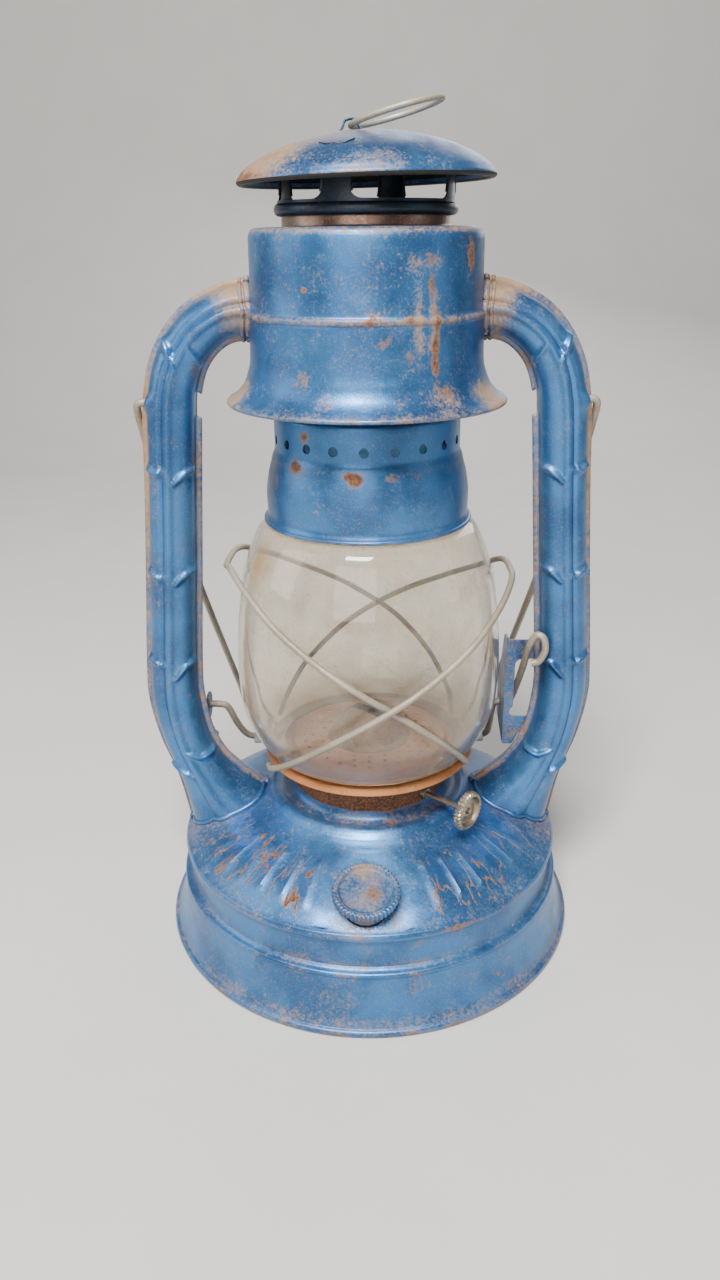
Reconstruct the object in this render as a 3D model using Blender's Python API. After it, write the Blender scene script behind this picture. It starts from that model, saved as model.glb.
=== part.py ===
"""Barn lantern: a cold-blast tubular kerosene lantern, built as its separate stampings, wires and glass.

Frame: +Z up, origin at the centre of the base rim on the surface it stands on, -Y is the filler side,
and the two air tubes stand at +X (right) and -X (left). Lengths below are millimetres; MM turns them
into Blender's metres.
"""

import math

import bmesh
import bpy
from mathutils import Matrix, Vector

MM = 0.001

# ---- driving dimensions -------------------------------------------------------------------------
SHEET = 0.6  # pressed steel sheet
GAP = 0.3  # clearance between pieces that touch
BASE_R = 82.5  # base rim, a 165 mm (6 1/2 in) base
SHOULDER_R = 74.8  # top edge of the tank's side wall
NECK_R = 30.5  # rusty air neck under the globe plate
NECK_TOP_Z = 73.4
PLATE_Z = 74.4  # seat of the globe on its plate
PLATE_R = 41.0
GLOBE_R = 49.9  # widest part of the glass
GLOBE_WALL = 2.2
BELL_Z = 167.4  # lower edge of the crown's bell
BELL_R = 37.2
CHIMNEY_R = 27.3
HOOD_LIP_Z = 208.6
HOOD_LIP_R = 48.1
HOOD_R = 39.4
HOOD_TOP_Z = 263.6
CAP_R = 41.4
CAP_RIM_Z = 277.4
CAP_TOP_Z = 291.4
CAP_TILT = math.radians(1.4)
CAP_TILT_Z = 284.0

GUARD_WIRE_R = 1.0
HEAVY_WIRE_R = 1.45  # bail and lift crank

PIVOT_Y = 14.0  # the lift crank turns about an X axis behind the tubes
PIVOT_Z = 84.2
BAIL_PIVOT_Z = 208.4
BAIL_LEAN = math.radians(23.0)  # how far the resting bail leans back from straight down
BAIL_LEG = 205.0  # pivot to the top of the bail's arc

SHAFT_AZIMUTH = math.radians(-40.4)  # wick shaft points right and forward
SHAFT_Z = 64.0
SHAFT_OFFSET = -3.7  # shaft's distance from the flat wick's middle plane
SHAFT_R = 1.0
KNOB_AT = 50.5  # thumb wheel's distance along the shaft

FILLER_AZIMUTH = math.radians(-91.7)
FILLER_DISTANCE = 63.0
FILLER_TILT = math.radians(15.0)
FILLER_Z = 42.4  # filler neck's foot on the dome

RING_X = -4.6  # lift ring's pivot on the cap
RING_Z = 292.6
RING_R = 14.7
RING_LEAN = math.radians(14.5)

TURN_STEPS = 28
TANK_STEPS = 36
WIRE_ROUNDNESS = 1  # bevel resolution: six-sided wires


# ---- materials ----------------------------------------------------------------------------------
def make_material(name, colour, roughness, metallic, alpha=1.0):
    material = bpy.data.materials.new(name)
    material.use_nodes = True
    shader = material.node_tree.nodes["Principled BSDF"]
    shader.inputs["Base Color"].default_value = (*colour, 1.0)
    shader.inputs["Roughness"].default_value = roughness
    shader.inputs["Metallic"].default_value = metallic
    shader.inputs["Alpha"].default_value = alpha
    return material


def make_materials():
    return {
        "blue_paint": make_material("blue_paint", (0.06, 0.20, 0.42), 0.38, 0.35),
        "dark_paint": make_material("dark_paint", (0.05, 0.09, 0.14), 0.45, 0.3),
        "rusty_steel": make_material("rusty_steel", (0.30, 0.14, 0.07), 0.75, 0.3),
        "bare_steel": make_material("bare_steel", (0.42, 0.36, 0.31), 0.4, 0.9),
        "dull_wire": make_material("dull_wire", (0.42, 0.38, 0.31), 0.55, 0.7),
        "glass": make_material("glass", (0.85, 0.82, 0.74), 0.12, 0.0, 0.3),
        "brass": make_material("brass", (0.50, 0.36, 0.20), 0.45, 0.8),
        "wick_cotton": make_material("wick_cotton", (0.70, 0.64, 0.50), 0.95, 0.0),
        "cork": make_material("cork", (0.45, 0.30, 0.17), 0.9, 0.0),
    }


# ---- modelling helpers --------------------------------------------------------------------------
def clear_scene():
    for obj in list(bpy.data.objects):
        bpy.data.objects.remove(obj, do_unlink=True)


def add_object(name, data, material):
    obj = bpy.data.objects.new(name, data)
    bpy.context.scene.collection.objects.link(obj)
    if material:
        data.materials.append(material)
    return obj


def finish_mesh(name, bm, material, sharp_angle=40.0):
    """Scales a bmesh from millimetres to metres and makes it a smooth-shaded object."""
    bmesh.ops.recalc_face_normals(bm, faces=bm.faces)
    bmesh.ops.scale(bm, vec=(MM, MM, MM), verts=bm.verts)
    mesh = bpy.data.meshes.new(name)
    bm.to_mesh(mesh)
    bm.free()
    mesh.shade_smooth()
    mesh.set_sharp_from_angle(angle=math.radians(sharp_angle))
    return add_object(name, mesh, material)


def offset_line(points, distance):
    """The open (r, z) line moved sideways by distance, to its right as it is walked."""
    moved = []
    for i, point in enumerate(points):
        before = Vector(points[max(i - 1, 0)])
        after = Vector(points[min(i + 1, len(points) - 1)])
        here = Vector(point)
        sides = []
        for a, b in ((before, here), (here, after)):
            step = b - a
            if step.length > 1e-9:
                sides.append(Vector((step.y, -step.x)).normalized())
        normal = sum(sides, Vector((0, 0))).normalized()
        stretch = 1 / max(0.6, normal.dot(sides[0]))
        moved.append(tuple(here + normal * distance * stretch))
    return moved


def shell_profile(points, thickness=SHEET):
    """A closed profile for sheet metal: the line as given, and back along it one thickness to its right."""
    return list(points) + offset_line(points, thickness)[::-1]


def turned(name, profile, material, steps=TURN_STEPS, centre=(0, 0), axis_tilt=None):
    """Spins a closed (r, z) profile about the Z axis, or about a tilted axis given as a matrix."""
    bm = bmesh.new()
    verts = [bm.verts.new((max(r, 0.0), 0, z)) for r, z in profile]
    edges = [bm.edges.new((verts[i], verts[(i + 1) % len(verts)])) for i in range(len(verts))]
    bmesh.ops.spin(
        bm,
        geom=verts + edges,
        cent=(0, 0, 0),
        axis=(0, 0, 1),
        dvec=(0, 0, 0),
        angle=2 * math.pi,
        steps=steps,
        use_merge=True,
    )
    bmesh.ops.remove_doubles(bm, verts=bm.verts, dist=1e-4)
    bmesh.ops.dissolve_degenerate(bm, edges=bm.edges, dist=1e-4)
    if axis_tilt is not None:
        bmesh.ops.transform(bm, matrix=axis_tilt, verts=bm.verts)
    bmesh.ops.translate(bm, vec=(*centre, 0), verts=bm.verts)
    return finish_mesh(name, bm, material)


def ring_profile(r_in, r_out, z_low, z_high):
    return [(r_in, z_low), (r_out, z_low), (r_out, z_high), (r_in, z_high)]


def smooth_path(points, per_span):
    """Catmull-Rom points through the given ones, per_span to each span."""
    points = [Vector(p) for p in points]
    ends = [2 * points[0] - points[1], *points, 2 * points[-1] - points[-2]]
    path = []
    for i in range(1, len(ends) - 2):
        a, b, c, d = ends[i - 1 : i + 3]
        for k in range(per_span):
            t = k / per_span
            path.append(
                0.5
                * (
                    2 * b
                    + (c - a) * t
                    + (2 * a - 5 * b + 4 * c - d) * t * t
                    + (3 * b - a - 3 * c + d) * t**3
                )
            )
    path.append(points[-1])
    return path


def wire(name, path, radius, material, cyclic=False, roundness=WIRE_ROUNDNESS):
    """Round wire along a path of points, as a curve with filled ends."""
    curve = bpy.data.curves.new(name, "CURVE")
    curve.dimensions = "3D"
    curve.bevel_depth = radius * MM
    curve.bevel_resolution = roundness
    curve.use_fill_caps = True
    spline = curve.splines.new("POLY")
    spline.points.add(len(path) - 1)
    for spot, point in zip(spline.points, path):
        spot.co = (*(Vector(point) * MM), 1)
    spline.use_cyclic_u = cyclic
    return add_object(name, curve, material)


def prism(name, outline, material, along, start, length, matrix=None):
    """Extrudes a closed outline of (a, b) pairs by length along X, Y or Z, from start on that axis."""
    bm = bmesh.new()
    place = {
        "X": lambda a, b: (start, a, b),
        "Y": lambda a, b: (a, start, b),
        "Z": lambda a, b: (a, b, start),
    }[along]
    push = {"X": (length, 0, 0), "Y": (0, length, 0), "Z": (0, 0, length)}[along]
    face = bm.faces.new([bm.verts.new(place(a, b)) for a, b in outline])
    made = bmesh.ops.extrude_face_region(bm, geom=[face])
    moved = [v for v in made["geom"] if isinstance(v, bmesh.types.BMVert)]
    bmesh.ops.translate(bm, vec=push, verts=moved)
    if matrix is not None:
        bmesh.ops.transform(bm, matrix=matrix, verts=bm.verts)
    return finish_mesh(name, bm, material, sharp_angle=25.0)


def rod(name, start, end, radius, material, sides=12):
    """A straight round bar from start to end."""
    start, end = Vector(start), Vector(end)
    bm = bmesh.new()
    bmesh.ops.create_cone(
        bm, cap_ends=True, segments=sides, radius1=radius, radius2=radius, depth=(end - start).length
    )
    turn = Vector((0, 0, 1)).rotation_difference(end - start).to_matrix().to_4x4()
    bmesh.ops.transform(bm, matrix=Matrix.Translation((start + end) / 2) @ turn, verts=bm.verts)
    return finish_mesh(name, bm, material)


def box(name, low, high, material, matrix=None):
    """A block between two corners, turned by matrix where one is given."""
    outline = [(low[0], low[1]), (high[0], low[1]), (high[0], high[1]), (low[0], high[1])]
    return prism(name, outline, material, "Z", low[2], high[2] - low[2], matrix)


def as_helper(cutter):
    cutter.hide_render = True
    cutter.display_type = "WIRE"
    return cutter


def boolean(target, cutter, operation="DIFFERENCE"):
    modifier = target.modifiers.new(operation.title(), "BOOLEAN")
    modifier.object = as_helper(cutter)
    modifier.operation = operation
    modifier.solver = "EXACT"


def merged_cutter(name, pieces):
    """Joins cutters that don't touch each other into one helper mesh."""
    bm = bmesh.new()
    for piece in pieces:
        bm.from_mesh(piece.data)
        bpy.data.objects.remove(piece, do_unlink=True)
    mesh = bpy.data.meshes.new(name)
    bm.to_mesh(mesh)
    bm.free()
    return add_object(name, mesh, None)


def polar(radius, angle, z=0.0):
    return Vector((radius * math.cos(angle), radius * math.sin(angle), z))


DOME = [  # the tank's top, from the shoulder in to the neck
    (72.5, 39.8),
    (67.0, 44.0),
    (60.0, 47.6),
    (52.0, 50.6),
    (45.0, 53.6),
    (40.0, 56.9),
    (37.0, 58.2),
    (31.6, 59.0),
]


# ---- tank ---------------------------------------------------------------------------------------
def build_tank(mats):
    wall_r = SHOULDER_R - 1.0
    rim = [(79.4, 0.0), (BASE_R - 0.9, 0.0), (BASE_R, 0.9), (BASE_R, 2.2), (81.0, 3.4)]
    skirt = [(78.0, 10.5), (76.5, 20.6), (75.9, 22.8), (wall_r, 24.2)]
    shoulder = [(wall_r, 35.4), (SHOULDER_R, 36.9), (74.4, 38.8)]
    outline = rim + skirt + shoulder + DOME + [(NECK_R, 61.0), (NECK_R, NECK_TOP_Z)]
    inside = [p for p in offset_line(outline, -SHEET) if p[1] > 1.0]
    profile = outline + inside[::-1] + [(79.4, SHEET)]
    tank = turned("tank_shell", profile, mats["blue_paint"], steps=TANK_STEPS)
    shaft_hole = rod("cut_shaft", shaft_point(NECK_R - 4), shaft_point(NECK_R + 4), 2.5, None, sides=8)
    boolean(tank, shaft_hole)
    boolean(tank, turned("cut_filler", ring_profile(0, 9.0, -12, 12), None, 16, axis_tilt=filler_matrix()))

    bottom = [(78.2, 1.4), (78.2, 6.6), (0.0, 6.6), (0.0, 6.0), (77.6, 6.0), (77.6, 1.4)]
    turned("tank_bottom", bottom, mats["blue_paint"], steps=TANK_STEPS)
    deck = [(15.0, 34.0), (71.8, 34.0), (71.8, 31.0), (72.4, 31.0), (72.4, 34.6), (15.0, 34.6)]
    deck_obj = turned("fount_deck", deck, mats["bare_steel"])
    boolean(deck_obj, turned("cut_deck", ring_profile(0, 9.0, -14, 2), None, 16, axis_tilt=filler_matrix()))


def filler_matrix():
    """Places a shape turned about Z onto the filler's tilted axis, its zero on the dome."""
    foot = polar(FILLER_DISTANCE, FILLER_AZIMUTH, FILLER_Z)
    outward = Vector((-math.sin(FILLER_AZIMUTH), math.cos(FILLER_AZIMUTH), 0))
    return Matrix.Translation(foot) @ Matrix.Rotation(FILLER_TILT, 4, outward)


def build_filler(mats):
    place = filler_matrix()
    neck = [(7.4, -7.0), (8.3, -7.0), (8.3, 3.6), (8.6, 4.2), (8.3, 4.8), (8.3, 5.8), (7.4, 5.8)]
    turned("filler_neck", neck, mats["blue_paint"], 20, axis_tilt=place)
    cap = [
        (0.0, 8.2),
        (0.0, 9.0),
        (9.9, 9.0),
        (10.4, 9.8),
        (11.2, 9.8),
        (11.7, 9.2),
        (11.7, 7.2),
        (11.2, 6.5),
        (9.8, 6.3),
        (9.8, 5.6),
        (9.0, 5.6),
        (9.0, 8.2),
    ]
    turned("filler_cap", cap, mats["blue_paint"], 24, axis_tilt=place)
    turned("filler_gasket", ring_profile(0, 8.6, 6.2, 7.8), mats["cork"], 16, axis_tilt=place)


# ---- burner -------------------------------------------------------------------------------------
def shaft_point(along, across=SHAFT_OFFSET, z=SHAFT_Z):
    """A point along the wick shaft, a distance from the lantern's axis along and across it."""
    return polar(along, SHAFT_AZIMUTH, z) + polar(across, SHAFT_AZIMUTH + math.pi / 2)


def wick_turn():
    return Matrix.Rotation(SHAFT_AZIMUTH, 4, "Z")


def build_burner(mats):
    collar = [
        (13.0, 30.0), (14.4, 30.0), (14.4, 35.0), (19.0, 35.0), (19.0, 35.8), (14.0, 36.2), (14.0, 43.5),
        (13.0, 43.5),
    ]
    turned("burner_collar", collar, mats["brass"], 20)
    body_line = [
        (22.6, 55.0), (22.0, 50.4), (15.5, 46.4), (12.6, 45.4), (12.6, 34.0), (11.8, 34.0), (11.8, 45.0),
    ]
    body_line += [(0.0, 45.0), (0.0, 46.0), (12.0, 46.3), (15.2, 47.2), (21.3, 50.9), (21.9, 55.0)]
    body = turned("burner_body", body_line, mats["brass"], 20)
    boolean(body, box("cut_body_slot", (-9.6, -2.7, 40), (9.6, 2.7, 52), None, wick_turn()))
    screen = turned("burner_screen", ring_profile(0, 22.0, 55.6, 56.2), mats["brass"], 20)
    boolean(screen, box("cut_screen_slot", (-9.6, -2.7, 54), (9.6, 2.7, 58), None, wick_turn()))

    tube = box("wick_tube", (-9.2, -2.2, 37.0), (9.2, 2.2, 83.0), mats["brass"], wick_turn())
    boolean(tube, box("cut_tube_bore", (-8.6, -1.6, 30.0), (8.6, 1.6, 90.0), None, wick_turn()))
    windows = [
        box(
            f"cut_window_{i}", (x - 1.6, -4.0, SHAFT_Z - 3.2), (x + 1.6, -1.0, SHAFT_Z + 3.2), None,
            wick_turn(),
        )
        for i, x in enumerate((-5.0, 5.0))
    ]
    boolean(tube, merged_cutter("cut_windows", windows))
    box("wick", (-8.0, -1.1, 12.0), (8.0, 1.1, 84.4), mats["wick_cotton"], wick_turn())

    rod("wick_shaft", shaft_point(-8.5), shaft_point(KNOB_AT + 1.6), SHAFT_R, mats["bare_steel"])
    for name, along in (("wick_sprocket_inner", -5.0), ("wick_sprocket_outer", 5.0)):
        build_sprocket(name, along, mats["brass"])
    build_bushing(mats["bare_steel"])
    build_knob(mats["bare_steel"])


def along_shaft():
    """Turns a shape made about Z so that its Z runs out along the wick shaft."""
    tilt = Matrix.Rotation(math.pi / 2, 4, "Y")
    return Matrix.Translation(shaft_point(0)) @ wick_turn() @ tilt


def build_sprocket(name, along, material):
    teeth, tip, root, half_width = 8, 2.25, 1.75, 1.0
    outline = []
    for i in range(teeth):
        for share, radius in ((0.0, tip), (0.5, root)):
            angle = 2 * math.pi * (i + share) / teeth
            outline.append((radius * math.cos(angle), radius * math.sin(angle)))
    wheel = prism(name, outline, material, "Z", along - half_width, 2 * half_width, along_shaft())
    bore = turned(
        f"cut_{name}", ring_profile(0, SHAFT_R + 0.3, along - 3, along + 3), None, 12,
        axis_tilt=along_shaft(),
    )
    boolean(wheel, bore)


def build_bushing(material):
    profile = ring_profile(SHAFT_R + 0.3, 2.1, NECK_R - 3.0, NECK_R + 1.6)
    turned("shaft_bushing", profile, material, 12, axis_tilt=along_shaft())


def build_knob(material):
    """Thumb wheel: a knurled ring held to the shaft's hub by a pressed web."""
    low, high = KNOB_AT - 1.5, KNOB_AT + 1.5
    web_low, web_high = KNOB_AT - 0.4, KNOB_AT + 0.4
    hub_r = SHAFT_R + 0.3
    profile = [
        (hub_r, web_low - 0.8),
        (2.4, web_low - 0.8),
        (2.6, web_low),
        (5.0, web_low),
        (5.0, low),
        (7.2, low),
        (7.2, high),
        (5.0, high),
        (5.0, web_high),
        (2.6, web_high),
        (2.4, web_high + 0.8),
        (hub_r, web_high + 0.8),
    ]
    turned("wick_knob", profile, material, 20, axis_tilt=along_shaft())


# ---- globe carriage -----------------------------------------------------------------------------
GLOBE_OUTLINE = [
    (34.6, 74.9),
    (36.0, 75.6),
    (40.6, 78.2),
    (43.6, 82.2),
    (47.0, 89.0),
    (49.2, 97.0),
    (GLOBE_R, 110.0),
    (49.6, 120.0),
    (48.3, 134.0),
    (45.8, 149.0),
    (40.4, 162.6),
    (36.4, 166.4),
    (34.0, 168.4),
    (33.2, 171.4),
]


def build_globe(mats):
    turned("globe", shell_profile(GLOBE_OUTLINE, -GLOBE_WALL), mats["glass"], 32)


def build_globe_plate(mats):
    top = [(12.2, 77.4), (30.0, 77.4), (31.2, PLATE_Z), (36.8, PLATE_Z), (39.6, 76.4), (PLATE_R, 74.0)]
    plate = turned("globe_plate", shell_profile(top), mats["rusty_steel"])
    holes = [
        turned(
            f"cut_air_{i}", ring_profile(0, 1.6, 74, 80), None, 5,
            centre=tuple(polar(23.0, i * math.pi / 6)[:2]),
        )
        for i in range(12)
    ]
    boolean(plate, merged_cutter("cut_air", holes))

    dome = [(15.6, 77.8), (13.4, 78.0), (12.8, 82.6), (11.0, 85.8), (7.0, 88.0), (0.0, 88.8)]
    inner = [(0.0, 88.2), (6.8, 87.4), (10.6, 85.3), (12.2, 82.4), (12.8, 77.8)]
    cone = turned("burner_cone", dome + inner, mats["rusty_steel"], 20)
    boolean(cone, box("cut_cone_slot", (-9.6, -2.6, 83.4), (9.6, 2.6, 92), None, wick_turn()))

    for side, sign in (("left", -1), ("right", 1)):
        build_lift_wing(f"lift_wing_{side}", sign, mats["bare_steel"])


def build_lift_wing(name, sign, material):
    """A shelf hung from the plate's rim, which the crank's toe pushes up."""
    shelf = [(33.2, 13.0), (47.9, 13.0), (47.9, 33.8), (43.4, 33.8), (43.4, 19.6), (33.2, 19.6)]
    wing = prism(name, [(sign * x, y) for x, y in shelf], material, "Z", 66.3, 0.7)
    riser = [(sign * 33.2, 13.0), (sign * 34.0, 13.0), (sign * 34.0, 19.6), (sign * 33.2, 19.6)]
    boolean(wing, prism(f"add_{name}", riser, None, "Z", 66.3, 7.1), "UNION")


GUARD_STATIONS = (  # azimuth from the side loop in degrees, height, distance outside the glass
    (0, 147.0, 6.6),
    (14, 146.2, 6.0),
    (30, 139.6, 3.2),
    (50, 130.8, 1.6),
    (70, 121.4, 1.5),
    (86, 112.8, 1.5),
    (104, 101.8, 1.5),
    (122, 89.8, 1.6),
    (140, 79.6, 2.2),
    (152, 75.4, 4.6),
)


def globe_radius(z):
    """Outer radius of the glass at a height, read along its outline."""
    for (r0, z0), (r1, z1) in zip(GLOBE_OUTLINE, GLOBE_OUTLINE[1:]):
        if z0 <= z <= z1:
            return r0 + (r1 - r0) * (z - z0) / (z1 - z0)
    return GLOBE_OUTLINE[0][0]


def guard_path(sign, raise_by, stand_off):
    """One guard wire: up from the rear foot, round the far side loop, and down to the front foot."""
    points = []
    for azimuth, z, clear in GUARD_STATIONS:
        z += raise_by * min(1.0, (azimuth + 12) / 36, (152 - azimuth) / 40)
        radius = globe_radius(z) + clear + stand_off * math.sin(math.radians(min(azimuth, 90)))
        turn = math.radians(azimuth)
        points.append(radius * Vector((sign * math.cos(turn), math.sin(turn), 0)))
        points[-1].z = z
    front = [Vector((p.x, -p.y, p.z)) for p in points[1:]]
    return smooth_path(points[::-1] + front, 2)


def build_guards(mats):
    wire("guard_wire_right", guard_path(1, 0.0, 3.2), GUARD_WIRE_R, mats["dull_wire"])
    wire("guard_wire_left", guard_path(-1, 7.5, 0.6), GUARD_WIRE_R, mats["dull_wire"])


# ---- crown --------------------------------------------------------------------------------------
def build_crown(mats):
    bell = [
        (BELL_R - 0.5, BELL_Z),
        (BELL_R, BELL_Z + 1.0),
        (36.2, BELL_Z + 3.2),
        (35.9, 178.0),
        (33.7, 189.6),
        (32.5, 192.4),
        (32.5, 203.6),
        (31.0, 206.2),
        (28.0, 206.8),
    ]
    bell_obj = turned("bell", shell_profile(bell, -SHEET), mats["blue_paint"])
    vents = []
    for i in range(20):
        angle = math.radians(-92.5 + 18 * i)
        vents.append(

            rod(f"cut_vent_{i}", polar(30.0, angle, 196.9), polar(34.5, angle, 196.9), 1.65, None, sides=4),
        )
    boolean(bell_obj, merged_cutter("cut_vents", vents))

    turned("chimney_tube", ring_profile(CHIMNEY_R - SHEET, CHIMNEY_R, 200.0, 270.2), mats["rusty_steel"])
    gallery = [(28.6, 267.0), (29.2, 267.6), (29.2, 269.9), (28.5, 270.6), (28.5, 284.0)]
    gallery_obj = turned("gallery", shell_profile(gallery, -SHEET), mats["dark_paint"])
    windows = []
    for i in range(4):
        angle = math.radians(-109 + 45 + 90 * i)
        turn = Matrix.Rotation(angle, 4, "Z")
        windows.append(box(f"cut_window_{i}", (16.0, -17.0, 271.2), (36.0, 17.0, 282.4), None, turn))
    for window in windows:
        boolean(gallery_obj, window)

    cap = [
        (CAP_R - 0.4, CAP_RIM_Z - 0.8),
        (CAP_R, CAP_RIM_Z),
        (CAP_R - 0.1, CAP_RIM_Z + 1.2),
        (39.6, 280.4),
        (33.0, 284.2),
        (24.0, 287.8),
        (13.0, 290.6),
        (0.0, CAP_TOP_Z),
    ]
    inner = [(0.0, CAP_TOP_Z - SHEET)] + [(r - 0.15, z - SHEET) for r, z in cap[-2:2:-1]]
    inner += [(CAP_R - SHEET - 0.1, CAP_RIM_Z + 1.0), (CAP_R - SHEET, CAP_RIM_Z - 0.8)]
    turned("cap", cap + inner, mats["blue_paint"], 32, axis_tilt=cap_tilt())

    build_ring_clip(mats["blue_paint"])
    ring = []
    for i in range(20):
        angle = 2 * math.pi * i / 20
        flat = Vector((RING_R * (1 - math.cos(angle)), RING_R * math.sin(angle), 0))
        ring.append(Matrix.Rotation(-RING_LEAN, 3, "Y") @ flat + Vector((RING_X, 0, RING_Z)))
    wire("lift_ring", ring, 0.95, mats["dull_wire"], cyclic=True)

    coil_r, turns, per_turn = 31.2, 5, 12
    low, high = 208.0, 261.6
    coil = []
    for i in range(turns * per_turn + 1):
        angle = 2 * math.pi * i / per_turn
        coil.append(polar(coil_r, angle, low + (high - low) * i / (turns * per_turn)))
    wire("crown_spring", coil, 0.7, mats["bare_steel"], roundness=0)


def cap_tilt():
    """The cap sits a little out of level, its right side up."""
    middle = Vector((0, 0, CAP_TILT_Z))
    return Matrix.Translation(middle) @ Matrix.Rotation(-CAP_TILT, 4, "Y") @ Matrix.Translation(-middle)


def build_ring_clip(material):
    """A low strap on top of the cap that the lift ring turns under."""
    outer = [(-4.0, -0.8), (-3.0, -0.8), (-1.7, 1.4), (1.7, 1.4), (3.0, -0.8), (4.0, -0.8)]
    strap = shell_profile(outer, 0.7)
    lift = RING_Z + 0.7
    outline = [(RING_X + x, lift + z) for x, z in strap]
    prism("ring_clip", outline, material, "Y", -1.8, 3.6)


# ---- hood and air tubes -------------------------------------------------------------------------
HOOD = [  # outside of the hood, from its flared lip up and in to the guide the chimney slides through
    (HOOD_LIP_R - 0.5, HOOD_LIP_Z),
    (HOOD_LIP_R, HOOD_LIP_Z + 0.8),
    (46.4, HOOD_LIP_Z + 2.2),
    (42.6, 213.6),
    (40.4, 219.0),
    (HOOD_R, 228.0),
    (HOOD_R + 0.3, 237.1),
    (38.9, 239.0),
    (38.4, 258.8),
    (37.2, 261.0),
    (35.4, HOOD_TOP_Z),
    (28.7, HOOD_TOP_Z),
    (28.7, 257.6),
]


def build_hood(mats):
    hood = turned("hood", shell_profile(HOOD, -SHEET), mats["blue_paint"])
    ports = [
        rod(f"cut_port_{sign}", (sign * 30, 0, 238), (sign * 48, 0, 238), 7.4, None, sides=10)
        for sign in (-1, 1)
    ]
    boolean(hood, merged_cutter("cut_ports", ports))


TUBE_STATIONS = (  # outer seam edge (x, z), inner seam edge (x, z), half depth, from the hood to the tank
    ((36.0, 248.8), (36.0, 229.2), 8.6),
    ((48.6, 247.0), (46.4, 227.4), 8.9),
    ((62.6, 239.4), (53.4, 221.0), 9.0),
    ((72.8, 226.0), (56.8, 212.0), 9.1),
    ((77.7, 208.2), (57.6, 202.4), 9.1),
    ((79.8, 180.0), (59.2, 180.0), 9.1),
    ((82.2, 150.0), (61.4, 148.0), 9.1),
    ((85.6, 110.0), (64.1, 110.0), 9.3),
    ((86.0, 94.0), (64.2, 96.0), 9.6),
    ((82.9, 77.0), (61.4, 80.0), 10.4),
    ((77.4, 60.0), (53.8, 66.4), 12.0),
    ((74.2, 43.0), (41.8, 56.3), 13.6),
    ((72.8, 36.0), (34.0, 50.0), 14.4),
)
FIN = 2.0  # width of the flat seam on each side of a tube


def tube_stations(per_span):
    """Smooth stations down a tube: outer edge, inner edge and half depth."""
    outer = smooth_path([(x, 0, z) for (x, z), _, _ in TUBE_STATIONS], per_span)
    inner = smooth_path([(x, 0, z) for _, (x, z), _ in TUBE_STATIONS], per_span)
    depth = smooth_path([(h, 0, 0) for _, _, h in TUBE_STATIONS], per_span)
    return list(zip(outer, inner, depth))


def tube_point(outer, inner, depth, angle, lift=0.0):
    """A point on one tube's outside, by angle from the outer side (0) over the face to the inner (pi)."""
    middle, half = (outer + inner) / 2, (outer - inner) / 2
    cosine, sine = math.cos(angle), math.sin(angle)
    share = (1 - FIN / half.length) * math.copysign(abs(cosine) ** 0.85, cosine)
    return middle + half * share, depth.x * sine**0.85 + lift


def build_tube_half(name, sign, face, material):
    """One stamping of an air tube. sign is its side of the lantern, face -1 for front and 1 for rear."""
    across = 7
    rings = []
    for outer, inner, depth in tube_stations(1):
        skin = [(outer, 0.0)]
        skin += [tube_point(outer, inner, depth, math.pi * k / across) for k in range(across + 1)]
        skin.append((inner, 0.0))
        middle = (outer + inner) / 2
        back = []
        for spot, bulge in skin[2:-2]:
            pull = 1 - SHEET / max((spot - middle).length, 4.0)
            back.append((middle + (spot - middle) * pull, max(bulge - SHEET, 0.0)))
        back = [skin[0], skin[1], *back, skin[-2], skin[-1]]
        loop = [(s, b + SHEET) for s, b in skin] + [(s, b) for s, b in back[::-1]]
        rings.append([(sign * s.x, face * (GAP / 2 + b), s.z) for s, b in loop])
    bm = bmesh.new()
    loops = [[bm.verts.new(p) for p in ring] for ring in rings]
    count = len(loops[0])
    for upper, lower in zip(loops, loops[1:]):
        for k in range(count):
            n = (k + 1) % count
            bm.faces.new((upper[k], upper[n], lower[n], lower[k]))
    half = count // 2
    for ring in (loops[0], loops[-1]):
        for k in range(half - 1):
            bm.faces.new((ring[k], ring[k + 1], ring[count - 2 - k], ring[count - 1 - k]))
    return finish_mesh(name, bm, material, sharp_angle=50.0)


def build_tubes(mats):
    """Each half ends a gap short of the hood above it and of the tank's dome below it."""
    dome = [(0.0, 20.0), (79.0, 20.0), (79.0, 34.0)] + [(SHOULDER_R + 0.5, 36.5), (74.6, 39.3)]
    dome += [(r, z + 0.5) for r, z in DOME] + [(0.0, 59.5)]
    hood = [(0.0, 200.0)] + [(r + 0.5, z) for r, z in HOOD[5:9]] + [(0.0, 258.8)]
    hood[1] = (HOOD_R + 0.5, 200.0)
    for side, sign in (("left", -1), ("right", 1)):
        for half, face in (("front", -1), ("rear", 1)):
            tag = f"{side}_{half}"
            tube = build_tube_half(f"{side}_tube_{half}", sign, face, mats["blue_paint"])
            trims = [turned(f"cut_dome_{tag}", dome, None, TANK_STEPS), turned(f"cut_hood_{tag}", hood, None)]
            boolean(tube, merged_cutter(f"cut_ends_{tag}", trims))
            start, end = (sign * 69.0, 0, BAIL_PIVOT_Z), (sign * 82.0, 0, BAIL_PIVOT_Z)
            boolean(tube, rod(f"cut_bail_{tag}", start, end, HEAVY_WIRE_R + GAP, None, sides=8))


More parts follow.
